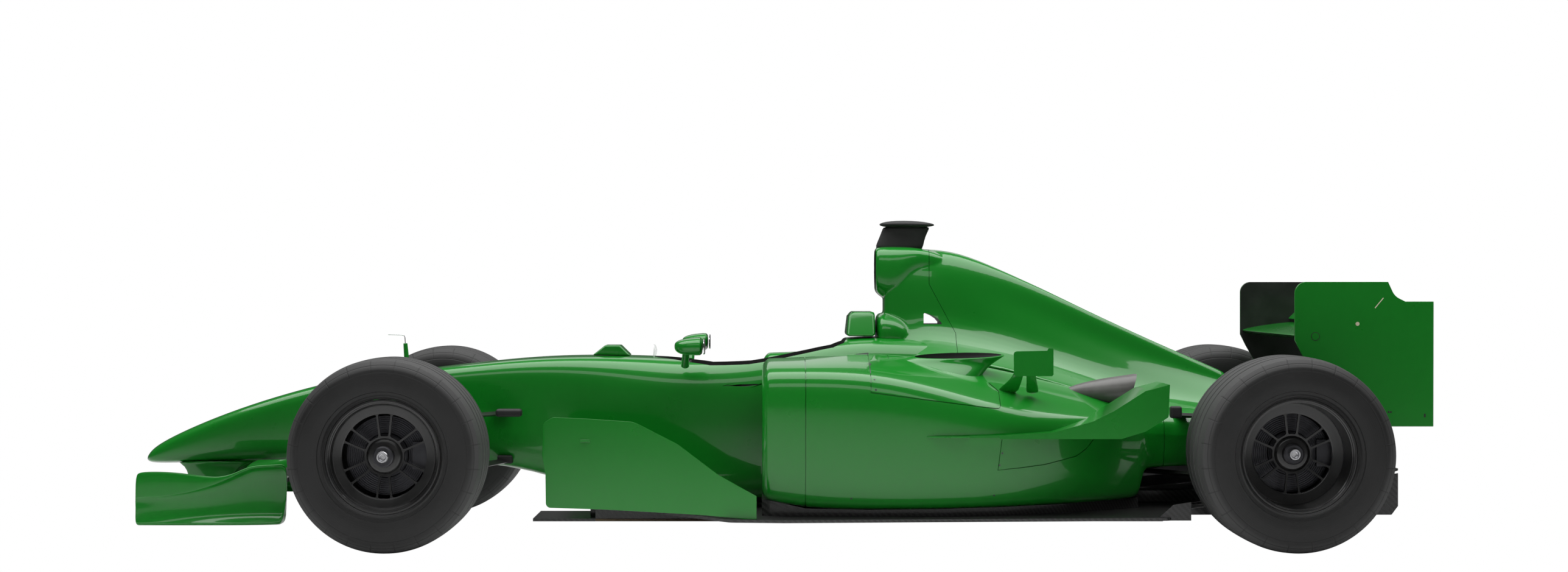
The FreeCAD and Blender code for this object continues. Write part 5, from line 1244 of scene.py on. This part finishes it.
def build_mirrors():
    rings = [shell_ring(x, z - rise, z + rise, half, 2.8, 2.8, 0.5, 20) for x, z, rise, half in MIRROR_ROWS]
    for ring in rings:
        for point in ring:
            point.y += MIRROR_Y
    pod = rounder(loft("mirror_shells", rings), 1)
    stem = bar("stem", Vector((-0.314, -0.255, 0.606)), Vector((-0.308, -0.320, 0.664)), 0.015, 20, 0.011)
    cut(pod, stem, "UNION")
    cut(pod, block("hollow", (-0.2495, MIRROR_Y - 0.074, 0.6485), (-0.20, MIRROR_Y + 0.074, 0.7035), 6 * MM))
    soften(pod, 0.8 * MM, 2, 40.0)
    finish(both_sides(pod), "chassis", body_green, "mirrors")


# x, underside, top, half width
CAMERA_HEAD_ROWS = [
    (0.386, 1.109, 1.113, 0.012), (0.396, 1.104, 1.119, 0.030), (0.425, 1.100, 1.1245, 0.046),
    (0.475, 1.099, 1.126, 0.052), (0.530, 1.099, 1.124, 0.050), (0.570, 1.103, 1.118, 0.034),
    (0.588, 1.107, 1.112, 0.012),
]
# front, rear, height, y, half width
CAMERA_FOOT_ROWS = [
    (0.368, 0.545, 1.012, 0.0, 0.026), (0.372, 0.547, 1.034, 0.0, 0.021), (0.388, 0.556, 1.070, 0.0, 0.019),
    (0.396, 0.568, 1.092, 0.0, 0.022), (0.399, 0.576, 1.108, 0.0, 0.026),
]


def build_camera_pod():
    """Flat pod on a narrow foot above the airbox, each with a thin gap round it."""
    head = shells("camera_head", CAMERA_HEAD_ROWS, 2.4, 2.4, 0.45, 20)
    foot = rounder(loft("camera_foot", [leaf(*row, count=24) for row in CAMERA_FOOT_ROWS]), 1)
    for piece, z in ((head, 1.109), (foot, 1.088)):
        seam(piece, [brick("slab", (0.35, -0.1, z), (0.62, 0.1, z + 1.2 * MM))], 1.5 * MM)
    soften(head, 0, angle=50.0)
    soften(foot, 0, angle=50.0)
    finish(join([foot, head]), "chassis", matt_black, "camera_pod")


def build_screen():
    """Low clear tab ahead of the cockpit."""
    rings = []
    for k in range(13):
        across_share = (k - 6) / 6
        x = -0.4465 + 0.008 * across_share ** 2
        y = 0.060 * across_share
        top = 0.6735 - 0.022 * across_share ** 4
        rings.append([Vector((x, y, 0.615)), Vector((x + 0.0035, y, 0.615)), Vector((x + 0.0105, y, top)),
                      Vector((x + 0.007, y, top))])
    screen = loft("clear_tab", rings)
    soften(screen, 0.8 * MM, 2, 50.0)
    finish(screen, "chassis", screen_clear, "windscreen")


# x, top edge, ridge, depth of the hollow below the ridge, turn inwards
ENDPLATE_ROWS = [
    (-2.1515, 0.2500, 0.1765, 0.002, 0.0),
    (-2.1400, 0.2625, 0.1768, 0.003, 0.0),
    (-2.1100, 0.2665, 0.1780, 0.005, 0.0),
    (-2.0500, 0.2660, 0.1815, 0.008, 0.0),
    (-1.9830, 0.2600, 0.1915, 0.012, 0.0),
    (-1.9300, 0.2500, 0.2045, 0.017, 0.0),
    (-1.8800, 0.2445, 0.2210, 0.023, 0.0),
    (-1.8350, 0.2500, 0.2400, 0.028, 0.001),
    (-1.7950, 0.2680, 0.2600, 0.032, 0.003),
    (-1.7600, 0.2820, 0.2760, 0.034, 0.006),
    (-1.7100, 0.2845, 0.2785, 0.034, 0.014),
    (-1.6700, 0.2855, 0.2795, 0.030, 0.026),
    (-1.6420, 0.2860, 0.2800, 0.024, 0.038),
]
ENDPLATE_WALL = 0.007
ENDPLATE_Y = -0.700


def endplate_ring(x, top, ridge, depth, turn_in):
    """Section of an endplate: flat above its ridge, hollow below it, with a lip and a foot at the bottom."""
    wall = ENDPLATE_WALL
    outer = [(0, top), (0, ridge + 0.0016), (0, ridge), (0.0008, ridge - 0.0014),
             (depth * 0.5 + 0.004, ridge - 0.009), (depth, ridge - 0.034), (depth, 0.128),
             (depth * 0.75, 0.106), (0.0012, 0.0918), (0, 0.0905), (0, 0.0890), (0, 0.0795)]
    inner = [(0.068, 0.0795), (0.068, 0.0865), (0.014, 0.0895), (depth * 0.75 + wall + 0.002, 0.110),
             (depth + wall, 0.131), (depth + wall, ridge - 0.036),
             (depth * 0.5 + 0.003 + wall, ridge - 0.004), (wall, ridge + 0.005), (wall, top)]
    lean = 0.070 * min(max((x + 1.70) / 0.058, 0.0), 1.0)
    return [Vector((x - lean * (0.286 - b), ENDPLATE_Y + turn_in + a, b)) for a, b in outer + inner]


def beyond_ring(x, top, ridge, depth, turn_in):
    """Section of the space from the middle of an endplate's wall outwards."""
    spots = [(-0.06, 0.050), (0.006, 0.050), (depth * 0.75 + 0.006, 0.110), (depth + 0.004, 0.131),
             (depth + 0.004, ridge - 0.036), (depth * 0.5 + 0.007, ridge - 0.004), (0.004, ridge + 0.005),
             (0.004, top + 0.02), (-0.06, top + 0.02)]
    return [Vector((x, ENDPLATE_Y + turn_in + a, b)) for a, b in spots]


def build_front_wing():
    wing = merged("front_wing")
    cut(wing, both_sides(loft("beyond", [beyond_ring(*row) for row in ENDPLATE_ROWS])))
    cut(wing, both_sides(brick("ahead_of_plate", (-2.20, -0.76, 0.0), (-2.149, -0.60, 0.30))))
    soften(wing, 0, angle=25.0)
    finish(wing, "chassis", weave_gloss, "front_wing")


def build_endplates():
    sheet = rounder(loft("front_endplates", [endplate_ring(*row) for row in ENDPLATE_ROWS]), 2)
    soften(sheet, 0, angle=60.0)
    finish(both_sides(sheet), "chassis", wing_green, "front_wing_endplates")


def build_plate_marks():
    """Plug, slot, peep hole and fasteners on the outside of the rear wing's endplates."""
    within, face = -0.499, -0.5004

    def pin(name, x, z, radius, sides, proud=0.0):
        return bar(name, Vector((x, within, z)), Vector((x, face - proud, z)), radius, sides)

    plug = pin("plug", 1.8696, 0.7137, 0.0130, 32, 0.8 * MM)
    soften(plug, 0.4 * MM, 2)
    edge = pin("plug_edge", 1.8696, 0.7137, 0.0150, 32)
    finish(both_sides(plug), "chassis", body_green, slot="body_green")
    hole = pin("peep_hole", 2.015, 0.757, 0.0068, 20)
    slit = board("slit", [(2.074, 0.8125), (2.0765, 0.8105), (2.1055, 0.8455), (2.103, 0.8475)], within, face)
    finish(both_sides(join([hole, slit])), "chassis", duct_cream, slot="duct_grey")
    dots = [pin("dot", x, z, 0.0035, 12)
            for x, z in ((2.122, 0.453), (2.130, 0.453), (2.247, 0.444), (2.247, 0.438))]
    finish(both_sides(join(dots + [edge])), "chassis", matt_black, slot="duct_grey")


build_nose()
build_tub()
build_pods()
build_cover()
build_chimneys()
build_exhausts()
build_winglets()
build_mast()
build_mirrors()
build_camera_pod()
build_screen()
build_front_wing()
build_endplates()
build_plate_marks()


# Pieces that keep their CAD form, with rounded edges and their own finish

# node, material, width of its rounded edges in millimetres
KEPT_FORMS = [
    ("rear_wing", wing_green, 2.5),
    ("rear_wing_endplates", wing_green, 1.5),
    ("bargeboards", body_green, 1.5),
    ("scuttle_bump", body_green, 8.0),
    ("floor", weave, 1.5),
    ("plank", plank_wood, 1.5),
    ("diffuser", weave, 1.5),
    ("radiators", dark_metal, 1.0),
    ("flip_ups", body_green, 1.5),
    ("headrest", body_green, 12.0),
    ("mirror_glasses", mirror_face, 0.5),
    ("seat", matt_black, 2.0),
    ("steering_wheel", matt_black, 4.0),
    ("engine", cast_grey, 6.0),
    ("gearbox", cast_grey, 5.0),
    ("rain_light", light_red, 3.0),
    ("front_wishbones", satin_black, 2.0),
    ("rear_wishbones", satin_black, 2.0),
    ("pushrods", satin_black, 2.0),
    ("rear_uprights", dark_metal, 4.0),
    ("steering_rack", dark_metal, 1.0),
    ("knuckle_left", dark_metal, 2.0),
    ("knuckle_right", dark_metal, 2.0),
]

for node, tone, width in KEPT_FORMS:
    made = dressed(node, tone, width * MM)
    if node == "rear_wing_endplates":
        made.data.materials.append(satin_black)
        repaint(made, 1, lambda c, n: n.y * c.y < 0 and abs(n.y) > 0.3)


# Small pieces that the CAD form doesn't have

def build_strakes():
    """Short strake ahead of each flip-up."""
    edge = ((0.518, -0.680), (0.560, -0.6905), (0.600, -0.6915), (0.662, -0.6920), (0.662, -0.660),
            (0.518, -0.660))
    fin = plate("pod_strakes", [Vector((x, y, 0.375)) for x, y in edge], UP * 0.006)
    soften(fin, 1.5 * MM, 2)
    finish(both_sides(fin), "chassis", body_green, slot="body_green")


def build_arm_mounts():
    """Lugs where upper arms meet the bodywork, and feet at the lower front arms' inner ends."""
    mounts = [block("arm_lugs", (1.391, -0.372, 0.424), (1.432, -0.338, 0.466), 8 * MM),
              block("front_arm_lugs", (-0.985, -0.284, 0.424), (-0.892, -0.240, 0.452), 10 * MM),
              block("foot", (-1.592, -0.152, 0.252), (-1.542, -0.095, 0.275), 6 * MM),
              block("foot", (-0.988, -0.200, 0.252), (-0.934, -0.140, 0.282), 6 * MM)]
    finish(both_sides(join(mounts)), "chassis", matt_black, slot="carbon_black")


def build_keel():
    """Keel under the gearbox."""
    keel = block("rear_keel", (1.230, -0.110, 0.104), (1.800, 0.110, 0.156), 8 * MM)
    finish(keel, "chassis", weave, slot="carbon_black")


build_strakes()
build_arm_mounts()
build_keel()


# Stage, light and camera

def build_stage():
    bpy.ops.object.select_all(action="DESELECT")
    bpy.ops.mesh.primitive_circle_add(vertices=96, radius=40.0, fill_type="NGON", location=(0, 0, 0))
    floor = active()
    floor.name = "studio_floor"
    made, shader, place = material("studio_floor", grey(0.80), 0.55)
    x, y, _ = axes(place)
    fade = (x * x + y * y).do("SQRT").above(16.0, 22.0)
    clear = made.node_tree.nodes.new("ShaderNodeBsdfTransparent")
    mixed = fade.node("ShaderNodeMixShader")
    links = made.node_tree.links
    links.new(fade.socket, mixed.inputs[0])
    links.new(shader.outputs[0], mixed.inputs[1])
    links.new(clear.outputs[0], mixed.inputs[2])
    links.new(mixed.outputs[0], made.node_tree.nodes["Material Output"].inputs["Surface"])
    floor.data.materials.append(made)
    floor.visible_camera = False
    floor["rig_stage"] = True


def area_light(name, place, target, size, size_y, power):
    data = bpy.data.lights.new(name, "AREA")
    data.shape = "RECTANGLE"
    data.size = size
    data.size_y = size_y
    data.energy = power
    light = bpy.data.objects.new(name, data)
    bpy.context.scene.collection.objects.link(light)
    light.location = place
    light.rotation_euler = (Vector(target) - Vector(place)).to_track_quat("-Z", "Y").to_euler()


def build_light():
    world = bpy.data.worlds.new("studio")
    bpy.context.scene.world = world
    world.use_nodes = True
    tree = world.node_tree
    back = tree.nodes["Background"]
    back.inputs["Color"].default_value = grey(0.95)
    back.inputs["Strength"].default_value = 0.06
    bright = tree.nodes.new("ShaderNodeBackground")
    bright.inputs["Color"].default_value = grey(1.0)
    bright.inputs["Strength"].default_value = 1.0
    path = tree.nodes.new("ShaderNodeLightPath")
    mixed = tree.nodes.new("ShaderNodeMixShader")
    tree.links.new(path.outputs["Is Camera Ray"], mixed.inputs[0])
    tree.links.new(back.outputs[0], mixed.inputs[1])
    tree.links.new(bright.outputs[0], mixed.inputs[2])
    tree.links.new(mixed.outputs[0], tree.nodes["World Output"].inputs["Surface"])
    area_light("top_light", (0.0, -0.4, 4.4), (0, -0.2, 0), 9.5, 4.6, 470)
    area_light("side_light", (-1.0, -7.0, 4.2), (0, 0, 0.4), 7.0, 1.4, 55)
    area_light("far_light", (1.0, 6.0, 3.6), (0, 0, 0.5), 7.0, 2.4, 40)


def build_camera():
    data = bpy.data.cameras.new("photo_camera")
    data.sensor_width = 36.0
    focal_pixels, image_width = 4000.0, 2576.0
    axis_right_of_middle, axis_below_middle = 1275.0 - 1288.0, 465.0 - 469.5
    data.lens = focal_pixels / image_width * data.sensor_width
    data.shift_x = -axis_right_of_middle / image_width
    data.shift_y = axis_below_middle / image_width
    data.clip_end = 200.0
    camera = bpy.data.objects.new("photo_camera", data)
    bpy.context.scene.collection.objects.link(camera)
    camera.location = (0.009, -8.9, 0.897)
    camera.rotation_euler = (math.radians(90), 0, 0)
    bpy.context.scene.camera = camera
    bpy.context.scene.view_settings.view_transform = "Standard"


build_stage()
build_light()
build_camera()

lo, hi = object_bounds()
